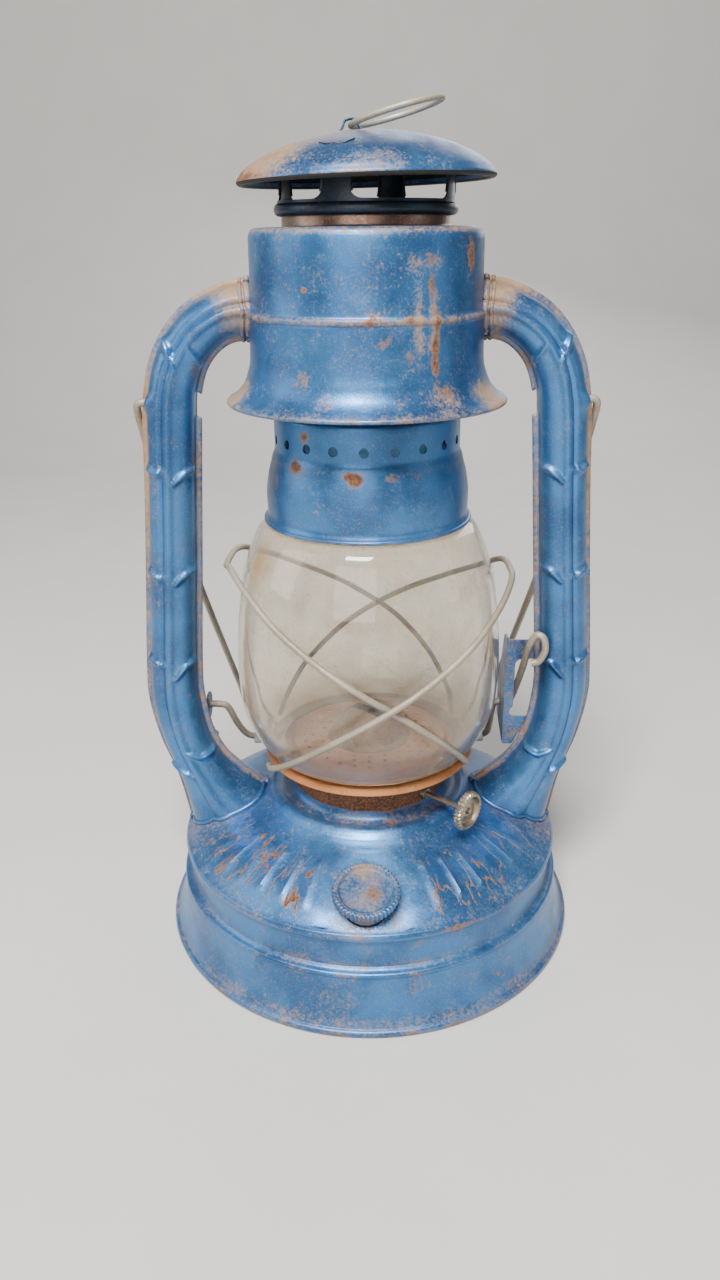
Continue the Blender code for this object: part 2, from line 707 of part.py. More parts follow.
# ---- globe lift ---------------------------------------------------------------------------------
def build_lift(mats):
    build_bracket(mats["blue_paint"])
    lug = [(9.9, 78.6), (16.4, 79.2), (19.4, 82.0), (19.4, 86.6), (16.4, 89.2), (9.9, 89.8)]
    lug_obj = prism("pivot_lug", lug, mats["blue_paint"], "X", -65.6, 0.8)
    boolean(
        lug_obj,
        rod("cut_lug", (-70, PIVOT_Y, PIVOT_Z), (-60, PIVOT_Y, PIVOT_Z), HEAVY_WIRE_R + GAP, None),
    )

    handle = [
        (61.4, -8.2, 111.4),
        (64.4, -8.6, 112.6),
        (66.2, -9.2, 117.2),
        (65.2, -9.2, 122.2),
        (62.6, -8.0, 122.6),
        (60.6, -6.2, 117.2),
        (59.6, 0.0, 104.8),
        (58.6, 9.4, 90.6),
        (57.6, PIVOT_Y - 0.6, PIVOT_Z + 0.6),
        (55.6, PIVOT_Y, PIVOT_Z),
        (52.6, PIVOT_Y, PIVOT_Z),
    ]
    toe = [
        (51.4, 15.0, 82.2),
        (51.0, 18.6, 72.6),
        (50.4, 20.8, 66.8),
        (48.4, 22.2, 64.6),
        (45.4, 22.5, 64.3),
        (43.0, 23.8, 64.2),
        (39.0, 28.6, 63.9),
        (33.6, 34.0, 63.6),
        (26.0, 36.0, 63.5),
    ]
    left = [(-x, y, z) for x, y, z in toe]
    left[0] = (-57.8, 15.0, 82.2)
    left[1] = (-55.0, 18.2, 73.4)
    left[2] = (-52.0, 20.8, 67.0)
    left_end = [(-60.8, PIVOT_Y, PIVOT_Z), (-69.0, PIVOT_Y, PIVOT_Z)]
    path = handle + toe + [(0.0, 36.0, 63.5)] + left[::-1] + left_end
    wire("lift_crank", path, HEAVY_WIRE_R, mats["dull_wire"])


def build_bracket(material):
    """Slotted plate behind the right tube's inner fin, with a flange that carries the crank's journal."""
    front_y, sheet = 1.2, 0.8
    plate = [
        (53.6, 71.6), (57.6, 71.6), (62.4, 82.0), (64.7, 92.0), (65.2, 106.0), (64.6, 117.0),
        (53.6, 117.0),
    ]
    bracket = prism("lift_bracket", plate, material, "Y", front_y, sheet)
    flange = [(front_y, 71.6), (19.5, 78.0), (19.5, 90.0), (9.0, 117.0), (front_y, 117.0)]
    boolean(bracket, prism("add_flange", flange, None, "X", 53.6, sheet), "UNION")
    slot = [
        (57.2, 107.0),
        (57.8, 108.2),
        (59.2, 109.0),
        (68.0, 109.0),
        (68.0, 84.0),
        (56.9, 84.0),
        (55.8, 85.4),
        (56.2, 87.4),
        (57.2, 88.2),
    ]
    boolean(bracket, prism("cut_slot", slot, None, "Y", -4, 10))
    hole = rod("cut_flange", (50, PIVOT_Y, PIVOT_Z), (57, PIVOT_Y, PIVOT_Z), HEAVY_WIRE_R + GAP, None)
    boolean(bracket, hole)


# ---- bail ---------------------------------------------------------------------------------------
def build_bail(mats):
    """Carrying handle, drawn in its own plane as (half width, distance from the pivot)."""
    leg = [
        (70.5, 0.0), (77.6, 0.0), (79.6, 0.9), (80.1, 3.6), (79.8, 9.0), (78.0, 26.0), (68.9, 86.0),
        (62.5, 124.0),
    ]
    arc_from, arc_width = 150.0, 58.0
    arc = []
    for i in range(6):
        angle = math.pi / 2 * i / 6
        arc.append((arc_width * math.cos(angle), arc_from + (BAIL_LEG - arc_from) * math.sin(angle)))
    half = leg + arc
    flat = half + [(0.0, BAIL_LEG)] + [(-w, d) for w, d in reversed(half)]
    points = [
        (w, d * math.sin(BAIL_LEAN), BAIL_PIVOT_Z - d * math.cos(BAIL_LEAN)) for w, d in flat
    ]
    wire("bail_handle", smooth_path(points, 1), HEAVY_WIRE_R, mats["dull_wire"])


def main():
    clear_scene()
    mats = make_materials()
    build_tank(mats)
    build_filler(mats)
    build_burner(mats)
    build_globe_plate(mats)
    build_globe(mats)
    build_guards(mats)
    build_hood(mats)
    build_crown(mats)
    build_tubes(mats)
    build_lift(mats)
    build_bail(mats)


main()
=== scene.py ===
"""Looks of the barn lantern: detailed stampings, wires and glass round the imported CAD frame.

Lengths in this file are millimetres unless a name says otherwise; MM turns them into Blender's metres.
-Y is the filler side, the air tubes stand at +X and -X, and +Z is up.
"""

import math

import bmesh
import bpy
from mathutils import Matrix, Vector


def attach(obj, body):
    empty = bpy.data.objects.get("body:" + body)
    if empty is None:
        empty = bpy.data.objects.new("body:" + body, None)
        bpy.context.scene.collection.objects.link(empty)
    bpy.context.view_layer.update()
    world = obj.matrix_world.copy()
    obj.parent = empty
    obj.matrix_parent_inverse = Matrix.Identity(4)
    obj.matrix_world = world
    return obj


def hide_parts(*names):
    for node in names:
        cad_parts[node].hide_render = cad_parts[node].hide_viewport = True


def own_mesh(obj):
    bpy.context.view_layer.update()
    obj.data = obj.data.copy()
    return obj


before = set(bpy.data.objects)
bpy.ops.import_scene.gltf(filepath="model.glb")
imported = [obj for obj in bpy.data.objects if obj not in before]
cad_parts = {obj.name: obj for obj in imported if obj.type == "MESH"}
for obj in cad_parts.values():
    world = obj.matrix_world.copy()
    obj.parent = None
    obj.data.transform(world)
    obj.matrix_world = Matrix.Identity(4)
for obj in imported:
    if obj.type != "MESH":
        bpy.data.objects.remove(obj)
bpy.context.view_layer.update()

MM = 0.001
GAP = 0.3  # between the halves of a tube
SHEET, LUG_SHEET, GLASS = 0.5, 0.8, 2.0  # wall thicknesses
HEAVY_WIRE = 1.4  # radius of the bail and the crank
BUMP_DEPTH = 0.0004  # metres
DULL_ROUGHNESS = 0.88  # of rust and dust

NECK_R = 30.5
PIVOT_Y, PIVOT_Z = 14.0, 84.2  # lift crank's axis, along X
BAIL_PIVOT_Z = 208.4
BAIL_LEAN = math.radians(23.0)
SHAFT_AZIMUTH = math.radians(-40.4)
SHAFT_Z, SHAFT_OFFSET, KNOB_AT = 64.0, -3.7, 50.5
FILLER_AZIMUTH = math.radians(-91.7)
FILLER_DISTANCE, FILLER_TILT, FILLER_Z = 63.0, math.radians(15.0), 42.4
RING_X, RING_Z, RING_R = -4.6, 292.6, 14.7
RING_LEAN = math.radians(14.5)
CAP_TILT = math.radians(1.4)

# ---- colours (linear) ----
BLUE = (0.048, 0.185, 0.42)
BLUE_DEEP = (0.024, 0.10, 0.255)
NIGHT_BLUE = (0.014, 0.032, 0.062)
DUST = (0.28, 0.175, 0.085)
DUST_PALE = tuple(c * 1.35 for c in DUST)
# near black for soot and for the painted shade of down-facing faces
SOOT_AND_SHADE = (0.006, 0.005, 0.005)
RUST = (0.27, 0.105, 0.035)
RUST_DARK = (0.07, 0.032, 0.018)
RUST_PALE = (0.38, 0.215, 0.10)


# ---- materials ----
WEAR = {}  # the material of each finish


class Shader:
    """A node material under construction. Values are node outputs or plain numbers."""

    def __init__(self, name):
        self.material = bpy.data.materials.new(name)
        self.material.use_nodes = True
        self.tree = self.material.node_tree
        self.principled = self.tree.nodes["Principled BSDF"]
        place = self.node("TexCoord").outputs["Object"]
        split = self.node("SeparateXYZ", {0: place})
        self.place = self.vector("SCALE", {0: place, "Scale": 1 / MM})
        self.x, self.y, self.z = (self.times(out, 1 / MM) for out in split.outputs)
        facing = self.node("NewGeometry").outputs["True Normal"]
        self.normal_z = self.node("SeparateXYZ", {0: facing}).outputs["Z"]
        self.r = self.math("SQRT", self.add(self.times(self.x, self.x), self.times(self.y, self.y)))

    def plug(self, socket, value):
        if isinstance(value, bpy.types.NodeSocket):
            self.tree.links.new(value, socket)
        elif isinstance(value, tuple) and len(value) == 3 and socket.type == "RGBA":
            socket.default_value = (*value, 1.0)
        else:
            socket.default_value = value

    def node(self, kind, inputs=None, **settings):
        """A new node with its settings, and with a value in each input given by name or number."""
        node = self.tree.nodes.new(f"ShaderNode{kind}")
        for name, setting in settings.items():
            setattr(node, name, setting)
        for name, value in (inputs or {}).items():
            self.plug(node.inputs[name], value)
        return node

    def set(self, **values):
        for name, value in values.items():
            self.plug(self.principled.inputs[name.replace("_", " ")], value)

    def math(self, operation, a, b=0.0):
        return self.node("Math", {0: a, 1: b}, operation=operation).outputs[0]

    def times(self, a, b):
        return self.math("MULTIPLY", a, b)

    def add(self, *values):
        total = values[0]
        for value in values[1:]:
            total = self.math("ADD", total, value)
        return total

    def vector(self, operation, inputs):
        node = self.node("VectorMath", inputs, operation=operation)
        return node.outputs["Value" if operation == "LENGTH" else 0]

    def step(self, value, low, high, start=0.0, end=1.0):
        """Smooth step from start to end as value goes from low to high."""
        inputs = {"Value": value, "From Min": low, "From Max": high, "To Min": start, "To Max": end}
        return self.node("MapRange", inputs, interpolation_type="SMOOTHSTEP").outputs[0]

    def noise(self, size, detail=4.0, roughness=0.6, place=None):
        """Noise from 0 to 1 with features of about size millimetres."""
        grain = {"Scale": 1 / size, "Detail": detail, "Roughness": roughness}
        return self.node("TexNoise", {"Vector": place or self.place, **grain}).outputs["Fac"]

    def mix(self, factor, a, b):
        """Colours mixed by factor."""
        inputs = {"Factor": factor, "A": a, "B": b}
        return self.node("Mix", inputs, data_type="RGBA").outputs["Result"]

    def blend(self, factor, a, b):
        """Plain numbers or outputs mixed by factor."""
        return self.add(a, self.times(factor, self.math("SUBTRACT", b, a)))

    def influence(self, bands=(), spots=()):
        """Sum of bands (at a value of y, z or r) and of spots, each fading to nothing at its edge."""
        total = 0.0
        for along, centre, half_width, strength in bands:
            away = self.math("ABSOLUTE", self.math("SUBTRACT", getattr(self, along), centre))
            total = self.add(self.step(away, 0.0, half_width, strength, 0.0), total)
        for centre, radius, strength, stretch_z in spots:
            offset = self.vector("SUBTRACT", {0: self.place, 1: centre})
            offset = self.vector("MULTIPLY", {0: offset, 1: (1.0, 1.0, 1 / stretch_z)})
            away = self.vector("LENGTH", {0: offset})
            total = self.add(self.step(away, 0.0, radius, strength, 0.0), total)
        return total

    def bump(self, height, strength):
        node = self.node("Bump", {"Strength": strength, "Distance": BUMP_DEPTH, "Height": height})
        self.set(Normal=node.outputs[0])


def weathered(
    name, base=BLUE, deep=BLUE_DEEP, metallic=0.7, roughness=0.35, coat=0.2,
    rust=0.0, rust_bands=(), rust_spots=(), dust=0.06, dust_bands=(), dust_spots=(), strokes=0.0, soot_and_underside_shade=False,
):  # fmt: skip
    """Sheet or wire with its own finish under dust and rust.

    rust and dust raise their share all over; the soot switch turns what faces down near black, for soot and
    for painted shade of the undersides.
    """
    s = Shader(name)
    broad = s.noise(34, 3)
    blotch = s.noise(9, 6, 0.7)
    grit = s.noise(2.2, 5, 0.7)
    fine = s.noise(0.9, 4, 0.75)
    speck = s.noise(0.6, 2)
    colour = s.mix(s.step(broad, 0.38, 0.62), deep, base)
    pale_speck = tuple(min(1.0, c * 1.9 + 0.02) for c in base)
    colour = s.mix(s.step(speck, 0.5, 0.72, 0.0, 0.22), colour, pale_speck)

    field = s.add(s.times(blotch, 0.42), s.times(grit, 0.33), s.times(fine, 0.25))
    dust_field = s.add(field, dust - 0.5, s.influence(dust_bands, dust_spots))
    dusty = s.step(s.add(dust_field, s.step(fine, 0.3, 0.7, -0.09, 0.09)), 0.02, 0.40, 0.0, 0.9)
    colour = s.mix(dusty, colour, s.mix(s.step(grit, 0.35, 0.65), DUST, DUST_PALE))

    rust_field = s.add(field, rust, s.influence(rust_bands, rust_spots))
    if strokes:
        rust_field = s.add(rust_field, worn_strokes(s, strokes))
    stain = s.step(rust_field, 0.58, 0.73, 0.0, 0.7)
    rusty = s.step(rust_field, 0.645, 0.76)
    colour = s.mix(stain, colour, RUST_PALE)
    colour = s.mix(rusty, colour, s.mix(s.step(fine, 0.40, 0.66), RUST_DARK, RUST))

    dull = s.math("MAXIMUM", rusty, s.times(dusty, 0.85))
    # Down-facing faces go near black: partly soot, partly painted shade of the undersides.
    if soot_and_underside_shade:
        under = s.step(s.normal_z, 0.05, -0.15)
        colour = s.mix(under, colour, SOOT_AND_SHADE)
        dull = s.math("MAXIMUM", dull, under)
    s.set(
        Base_Color=colour,
        Metallic=s.blend(dull, metallic, 0.0),
        Roughness=s.blend(dull, s.add(roughness, s.step(blotch, 0.3, 0.7, -0.05, 0.08)), DULL_ROUGHNESS),
        Coat_Weight=coat,
        Coat_Roughness=0.3,
    )
    relief = s.add(s.times(grit, 0.35), s.times(speck, 0.2), s.times(rusty, 0.6))
    s.bump(relief, 0.45)
    return s.material


def worn_strokes(s, strength):
    """Short outward strokes of rusted metal on the dome, at both sides of the filler."""
    azimuth = s.math("ARCTAN2", s.x, s.times(s.y, -1.0))
    fan = s.node("CombineXYZ", {"X": s.times(azimuth, 60.0), "Y": s.times(s.r, 0.32)})
    lines = s.noise(7.0, 2, 0.5, place=fan.outputs[0])
    line = s.step(s.math("ABSOLUTE", s.math("SUBTRACT", lines, 0.5)), 0.0, 0.035, 1.0, 0.0)
    side = s.math("ABSOLUTE", azimuth)
    sector = s.times(s.step(side, 0.28, 0.4), s.step(side, 1.15, 1.3, 1.0, 0.0))
    ring = s.times(s.step(s.r, 47, 51), s.step(s.r, 70, 73, 1.0, 0.0))
    return s.times(s.times(line, s.times(sector, ring)), strength)


def make_glass():
    """Clear glass under a dry film of dust that is thickest near the bottom and on the left."""
    s = Shader("dusty_glass")
    cloud = s.noise(16, 5, 0.65)
    fine = s.noise(1.6, 4, 0.7)
    specks = s.step(s.noise(0.9, 1), 0.66, 0.74, 0.0, 0.25)
    low = s.add(s.step(s.z, 92, 76, 0.0, 0.22), s.step(s.z, 140, 84, 0.0, 0.07))
    high = s.step(s.z, 150, 172, 0.0, 0.16)
    patches = (
        ((-40, -22, 156), 13, 0.4, 1.2),
        ((-46, -14, 108), 30, 0.22, 1.8),
        ((46, -8, 100), 26, 0.12, 1.8),
    )
    mottle = s.add(s.step(cloud, 0.38, 0.8, 0.0, 0.14), s.step(fine, 0.45, 0.7, 0.0, 0.08))
    film = s.math("MINIMUM", s.add(mottle, specks, low, high, s.influence(spots=patches)), 0.7)
    s.set(
        Base_Color=s.mix(s.step(film, 0.0, 0.5), (0.97, 0.94, 0.86), (0.62, 0.42, 0.21)),
        Transmission_Weight=s.math("SUBTRACT", 1.0, s.times(film, 0.7)),
        Roughness=s.times(film, 0.08),
        IOR=1.45,
    )
    return s.material


def make_plain(name, colour, pale, metallic, roughness, grain, bump):
    """A small unpainted part: two close colours mottled at one grain size."""
    s = Shader(name)
    mottle = s.noise(grain, 5, 0.7)
    fine = s.noise(grain / 6, 3)
    s.set(
        Base_Color=s.mix(s.step(mottle, 0.35, 0.68), colour, pale),
        Metallic=metallic,
        Roughness=s.step(mottle, 0.3, 0.7, roughness - 0.08, roughness + 0.1),
    )
    s.bump(s.add(s.times(mottle, 0.5), s.times(fine, 0.5)), bump)
    return s.material


def both_sides(x, y, z, radius, strength, stretch_z):
    """The same spot on the left and on the right."""
    return tuple(((side * x, y, z), radius, strength, stretch_z) for side in (-1, 1))


def make_enamels():
    WEAR["tank"] = weathered(
        "tank_enamel",
        rust_bands=(
            ("z", 22.6, 1.5, 0.10), ("z", 1.2, 2.6, 0.15), ("z", 37.8, 1.7, 0.12), ("z", 61.6, 1.6, 0.30),
            ("z", 66.0, 5.6, 0.7), ("z", 71.0, 5.0, 0.7),
        ),
        rust_spots=(
            ((8, -33, 58), 9, 0.16, 1.0), ((-12, -55, 50), 7, 0.16, 1.0), ((16, -72, 33), 7, 0.16, 0.6),
            ((18, -74, 17), 10, 0.13, 1.0), ((30, -68, 36), 9, 0.16, 0.7), ((-30, -62, 44), 7, 0.15, 1.0),
            ((46, -60, 12), 9, 0.12, 1.0), ((-40, -66, 10), 8, 0.11, 1.0),
        ),
        dust=0.03,
        dust_bands=(
            ("r", 34.0, 6.0, 0.12), ("z", 25.5, 2.6, 0.10), ("z", 4.0, 4.0, 0.12), ("z", 40.0, 2.0, 0.05),
        ),
        dust_spots=(((-2, -64, 44), 17, 0.24, 1.0), *both_sides(62, -8, 48, 24, 0.2, 1.0)),
        strokes=0.21,
    )  # fmt: skip
    WEAR["tube"] = weathered(
        "tube_enamel",
        rust_bands=(("z", 209.0, 5.0, 0.06), ("y", 0.0, 1.9, 0.08)),
        rust_spots=(
            ((55, -4, 222), 9, 0.12, 1.0), ((-56, -6, 220), 8, 0.14, 1.0),
            *both_sides(77, 0, 206, 9, 0.12, 1.6), ((62, 0, 84), 6, 0.13, 2.2), ((46, 0, 60), 8, 0.14, 1.0),
            ((-46, 0, 60), 8, 0.13, 1.0),
        ),
        dust=0.02,
        dust_bands=(("y", 0.0, 2.4, 0.24),),
        dust_spots=(
            *both_sides(41, -6, 238, 14, 0.34, 1.0), ((-79, 0, 190), 12, 0.22, 5.0),
            ((79, 0, 190), 9, 0.18, 5.0), *both_sides(45, -2, 246, 16, 0.3, 0.6),
        ),
    )  # fmt: skip
    WEAR["hood"] = weathered(
        "hood_enamel",
        rust_bands=(("z", 237.2, 1.4, 0.07), ("z", 209.0, 1.3, 0.1)),
        rust_spots=(
            ((13.2, -36.8, 254), 5.5, 0.2, 0.8), ((19, -34, 255), 5.0, 0.2, 0.8),
            ((19.6, -33.8, 247.4), 3.6, 0.22, 2.6), ((20.7, -33, 236.0), 3.0, 0.26, 3.6),
            ((20.5, -33.3, 225), 3.4, 0.28, 3.0), ((22.5, -32.5, 215.5), 8.0, 0.23, 0.7),
            ((1.5, -39, 238.2), 5.0, 0.21, 1.0), ((5.1, -38.7, 231), 4.6, 0.2, 0.8),
            ((12.7, -37, 238), 4.5, 0.18, 0.8), ((12.0, -37, 227), 5.0, 0.15, 1.2),
            ((-19.3, -33.9, 246.3), 2.6, 0.28, 0.8), ((-27.0, -27.7, 261.0), 6.0, 0.16, 0.5),
            ((33, -21, 255.5), 5.5, 0.26, 1.5), ((44, -18, 211), 10.0, 0.2, 0.5),
            ((10, -41, 215), 6.0, 0.17, 1.0), ((-14, -41, 214), 9.0, 0.15, 0.8),
            ((-20, -33.4, 220), 7.0, 0.14, 1.0),
        ),
        dust=0.02,
        dust_bands=(("z", 237.2, 2.2, 0.20), ("z", 262.8, 2.0, 0.22), ("z", 209.5, 2.6, 0.16)),
        dust_spots=(
            ((40, -18, 213), 17, 0.4, 0.5), ((-44, -10, 213), 14, 0.5, 0.6),
            ((14.0, -36.6, 253), 7, 0.22, 0.8), ((19.5, -34.0, 254), 6, 0.16, 0.8),
            ((15.4, -36.0, 236), 3.2, 0.24, 5.6), ((20.2, -33.6, 236), 3.4, 0.30, 6.4),
            *both_sides(39, -4, 240, 7, 0.3, 4.0), ((24, -36, 214), 10, 0.25, 0.7),
        ),
    )  # fmt: skip
    WEAR["bell"] = weathered(
        "bell_enamel",
        deep=(0.03, 0.10, 0.24),
        rust_spots=(
            ((-6, -34, 189.2), 6.5, 0.26, 0.6), ((-3, -34.4, 187.2), 5.0, 0.2, 0.8),
            ((6.9, -33.8, 188.8), 5.0, 0.22, 0.6), ((-25, -24, 191), 6.5, 0.25, 0.8),
            ((-22, -26, 200.6), 5.5, 0.26, 0.9), ((-31, -17, 184), 6.0, 0.15, 1.0),
            ((28, -20, 188.6), 6.0, 0.18, 0.6), ((16, -31, 189), 7.0, 0.13, 0.4),
        ),
        dust=0.0,
        dust_bands=(("z", 167.2, 1.2, 0.3), ("z", 190.0, 1.6, 0.08)),
        dust_spots=(((-34, -10, 184), 12, 0.2, 1.4), ((34, -10, 184), 12, 0.14, 1.4)),
    )  # fmt: skip
    WEAR["cap"] = weathered(
        "cap_enamel",
        rust_bands=(("z", 277.6, 1.6, 0.10),),
        rust_spots=(
            ((-34, -20, 280), 20, 0.18, 0.7), ((-39, -8, 278), 10, 0.2, 0.7),
            ((-5, -6, 291), 16, 0.06, 1.0), ((30, -10, 286), 8, 0.2, 0.8),
        ),
        dust=0.05,
        dust_bands=(("z", 292.5, 5.0, 0.10),),
        dust_spots=(
            ((-30, -16, 281), 24, 0.55, 0.8), ((0, -36, 279), 16, 0.16, 0.6),
            ((-8, -14, 290), 18, 0.16, 0.6),
        ),
        # the cap's down-facing faces are painted near black: soot together with painted shade of the
        # underside
        soot_and_underside_shade=True,
    )  # fmt: skip
    WEAR["filler"] = weathered(
        "filler_enamel",
        rust_spots=(((1, -67, 51), 7.5, 0.24, 1.0), ((-2, -77, 47), 5, 0.16, 1.0)),
        dust=0.13,
        dust_spots=(((-2, -56, 52), 8, 0.2, 1.0), ((-2, -66, 44), 12, 0.16, 1.0)),
    )  # fmt: skip
    bracket_rust = (((54, 10, 90), 20, 0.14, 1.6),)
    WEAR["small_blue"] = weathered("bracket_enamel", rust_spots=bracket_rust, dust=0.12, rust=0.02)


def make_bare_metals():
    # Near-black enamel: soot on the gallery and its folds, and also the painted shade of the cap tab's slit.
    WEAR["dark"] = weathered(
        "smoked_enamel_and_slit_shade", base=NIGHT_BLUE, deep=(0.008, 0.014, 0.024), metallic=0.4, rust=-0.04, dust=-0.06
    )
    for finish, name, base, deep, metallic, roughness, rust, dust, extra in (
        ("rusty", "rusty_steel", (0.2, 0.12, 0.08), (0.12, 0.06, 0.03), 0.25, 0.7, 0.19, 0.16, {}),
        (
            "rusty_rim", "rusty_rim", (0.52, 0.205, 0.07), (0.35, 0.12, 0.04), 0.2, 0.7, 0.10, 0.02,
            {"dust_bands": (("z", 76.4, 2.0, 0.1),)},
        ),
        ("chimney", "chimney_steel", (0.44, 0.33, 0.27), (0.22, 0.12, 0.09), 0.85, 0.33, 0.06, 0.02, {}),
        (
            "wire", "galvanised_wire", (0.42, 0.38, 0.31), (0.28, 0.25, 0.20), 0.5, 0.5, -0.05, 0.10,
            {"rust_spots": both_sides(80, 0, 205, 6, 0.2, 1.6)},
        ),
        ("tin", "tinned_steel", (0.48, 0.42, 0.34), (0.26, 0.21, 0.15), 0.9, 0.3, -0.02, 0.02, {}),
        ("guide", "guide_tin", (0.30, 0.34, 0.38), (0.2, 0.22, 0.24), 0.6, 0.45, 0.03, 0.10, {}),
    ):  # fmt: skip
        WEAR[finish] = weathered(
            name, base, deep, metallic, roughness, coat=0.0, rust=rust, dust=dust, **extra
        )
    for finish, name, colour, pale, metallic, roughness, grain, bump in (
        ("brass", "old_brass", (0.16, 0.09, 0.045), (0.34, 0.21, 0.10), 0.85, 0.42, 7, 0.4),
        ("spring", "spring_steel", (0.10, 0.085, 0.07), (0.22, 0.19, 0.16), 0.9, 0.4, 5, 0.4),
        ("cotton", "wick_cotton", (0.42, 0.37, 0.28), (0.62, 0.56, 0.44), 0.0, 0.95, 1.2, 0.8),
        ("cork", "cork", (0.20, 0.12, 0.06), (0.38, 0.25, 0.14), 0.0, 0.9, 1.6, 0.7),
    ):
        WEAR[finish] = make_plain(name, colour, pale, metallic, roughness, grain, bump)


# ---- mesh helpers ----
def placed(name, data):
    """A new object in the scene."""
    obj = bpy.data.objects.new(name, data)
    bpy.context.scene.collection.objects.link(obj)
    return obj


def piece(name, data, finish, body, *nodes):
    """An object with a finish that rides on a body and stands for CAD nodes."""
    obj = placed(name, data)
    data.materials.append(WEAR[finish])
    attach(obj, body)
    if nodes:
        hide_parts(*nodes)
    return obj


def finish_mesh(name, bm, sharp_angle=35.0):
    """Mesh in metres from a bmesh in millimetres, smooth but for its sharp edges."""
    bmesh.ops.recalc_face_normals(bm, faces=bm.faces)
    bmesh.ops.scale(bm, vec=(MM, MM, MM), verts=bm.verts)
    mesh = bpy.data.meshes.new(name)
    bm.to_mesh(mesh)
    bm.free()
    mesh.shade_smooth()
    mesh.set_sharp_from_angle(angle=math.radians(sharp_angle))
    return mesh


def polar(radius, angle, z=0.0):
    return Vector((radius * math.cos(angle), radius * math.sin(angle), z))


def smooth_path(points, per_span):
    """Catmull-Rom points through the given ones, per_span to each span."""
    points = [Vector(p) for p in points]
    ends = [2 * points[0] - points[1], *points, 2 * points[-1] - points[-2]]
    path = []
    for i in range(1, len(ends) - 2):
        a, b, c, d = ends[i - 1 : i + 3]
        for k in range(per_span):
            t = k / per_span
            bend = (2 * a - 5 * b + 4 * c - d) * t * t + (3 * b - a - 3 * c + d) * t**3
            path.append((2 * b + (c - a) * t + bend) / 2)
    path.append(points[-1])
    return path


def curve2(points, per_span=5):
    return [tuple(p) for p in smooth_path(points, per_span)]


def arc(centre_r, centre_z, radius, start, end, count=8):
    """Points round a corner, by angle in degrees from +r."""
    angles = [math.radians(start + (end - start) * i / count) for i in range(count + 1)]
    return [(centre_r + radius * math.cos(a), centre_z + radius * math.sin(a)) for a in angles]


def shell(points, thickness=SHEET):
    """Closed sheet profile: the line as given, and back along it one thickness inwards (to its left)."""
    back = []
    for i, here in enumerate(points):
        before, after = Vector(points[max(i - 1, 0)]), Vector(points[min(i + 1, len(points) - 1)])
        step = (after - before).normalized()
        back.append((here[0] - step.y * thickness, here[1] + step.x * thickness))
    return list(points) + back[::-1]


def join_rings(bm, ring, following):
    """Quads between two closed rings of as many points."""
    for i in range(len(ring)):
        j = (i + 1) % len(ring)
        bm.faces.new((ring[i], following[i], following[j], ring[j]))


def turned_bmesh(profile, steps=128, displace=None):
    """Closed (r, z) profile swept round Z. displace(r, z, angle) may return a moved (r, z)."""
    bm = bmesh.new()
    rings = []
    for k in range(steps):
        angle = 2 * math.pi * k / steps
        ring = []
        for r, z in profile:
            if displace:
                r, z = displace(r, z, angle)
            ring.append(bm.verts.new(polar(max(r, 0.0), angle, z)))
        rings.append(ring)
    for k in range(steps):
        join_rings(bm, rings[k], rings[(k + 1) % steps])
    bmesh.ops.remove_doubles(bm, verts=bm.verts, dist=1e-4)
    bmesh.ops.dissolve_degenerate(bm, edges=bm.edges, dist=1e-5)
    return bm


def moved(bm, matrix):
    bmesh.ops.transform(bm, matrix=matrix, verts=bm.verts)
    return bm


def turned(node, profile, finish, body, steps=128, displace=None, matrix=None, sharp=35.0, name=None):
    """Turned skin that stands for one CAD node."""
    name = name or f"{node}_skin"
    bm = turned_bmesh(profile, steps, displace)
    if matrix is not None:
        moved(bm, matrix)
    return piece(name, finish_mesh(name, bm, sharp), finish, body, node)


def knurled(beyond, depth, teeth):
    """A displace function that ripples a rim outside a radius."""

    def displace(r, z, angle):
        if r > beyond:
            r += depth * math.cos(teeth * angle)
        return r, z

    return displace


def wire(name, path, radius, finish, body, *nodes, cyclic=False):
    """Round wire with filled ends, along a path of points."""
    curve = bpy.data.curves.new(name, "CURVE")
    curve.dimensions = "3D"
    curve.bevel_depth = radius * MM
    curve.bevel_resolution = 4
    curve.use_fill_caps = True
    spline = curve.splines.new("POLY")
    spline.points.add(len(path) - 1)
    for spot, point in zip(spline.points, path):
        spot.co = (*(Vector(point) * MM), 1)
    spline.use_cyclic_u = cyclic
    spline.use_smooth = True
    return piece(name, curve, finish, body, *nodes)


def prism_bmesh(outline, along, start, length):
    """Prism on an outline in the plane across an axis, from start for a length along it."""

    def place(a, b, c):
        point = [a, b]
        point.insert("XYZ".index(along), c)
        return point

    bm = bmesh.new()
    face = bm.faces.new([bm.verts.new(place(a, b, start)) for a, b in outline])
    made = bmesh.ops.extrude_face_region(bm, geom=[face])
    far = [v for v in made["geom"] if isinstance(v, bmesh.types.BMVert)]
    bmesh.ops.translate(bm, vec=place(0, 0, length), verts=far)
    bmesh.ops.recalc_face_normals(bm, faces=bm.faces)
    return bm


def flat_plate(node, outline, along, start, thickness, finish, body):
    """Plate with this outline that stands for one CAD node."""
    name = f"{node}_skin"
    bm = prism_bmesh(outline, along, start, thickness)
    return piece(name, finish_mesh(name, bm), finish, body, node)


def rounded(outline, radius, steps=4):
    """The outline with each corner cut to a small arc."""
    points = []
    count = len(outline)
    for i in range(count):
        here = Vector(outline[i])
        before, after = Vector(outline[i - 1]), Vector(outline[(i + 1) % count])
        reach = min(radius, (before - here).length * 0.45, (after - here).length * 0.45)
        a = here + (before - here).normalized() * reach
        b = here + (after - here).normalized() * reach
        for k in range(steps + 1):
            t = k / steps
            points.append(tuple(a * (1 - t) ** 2 + here * 2 * t * (1 - t) + b * t * t))
    return points


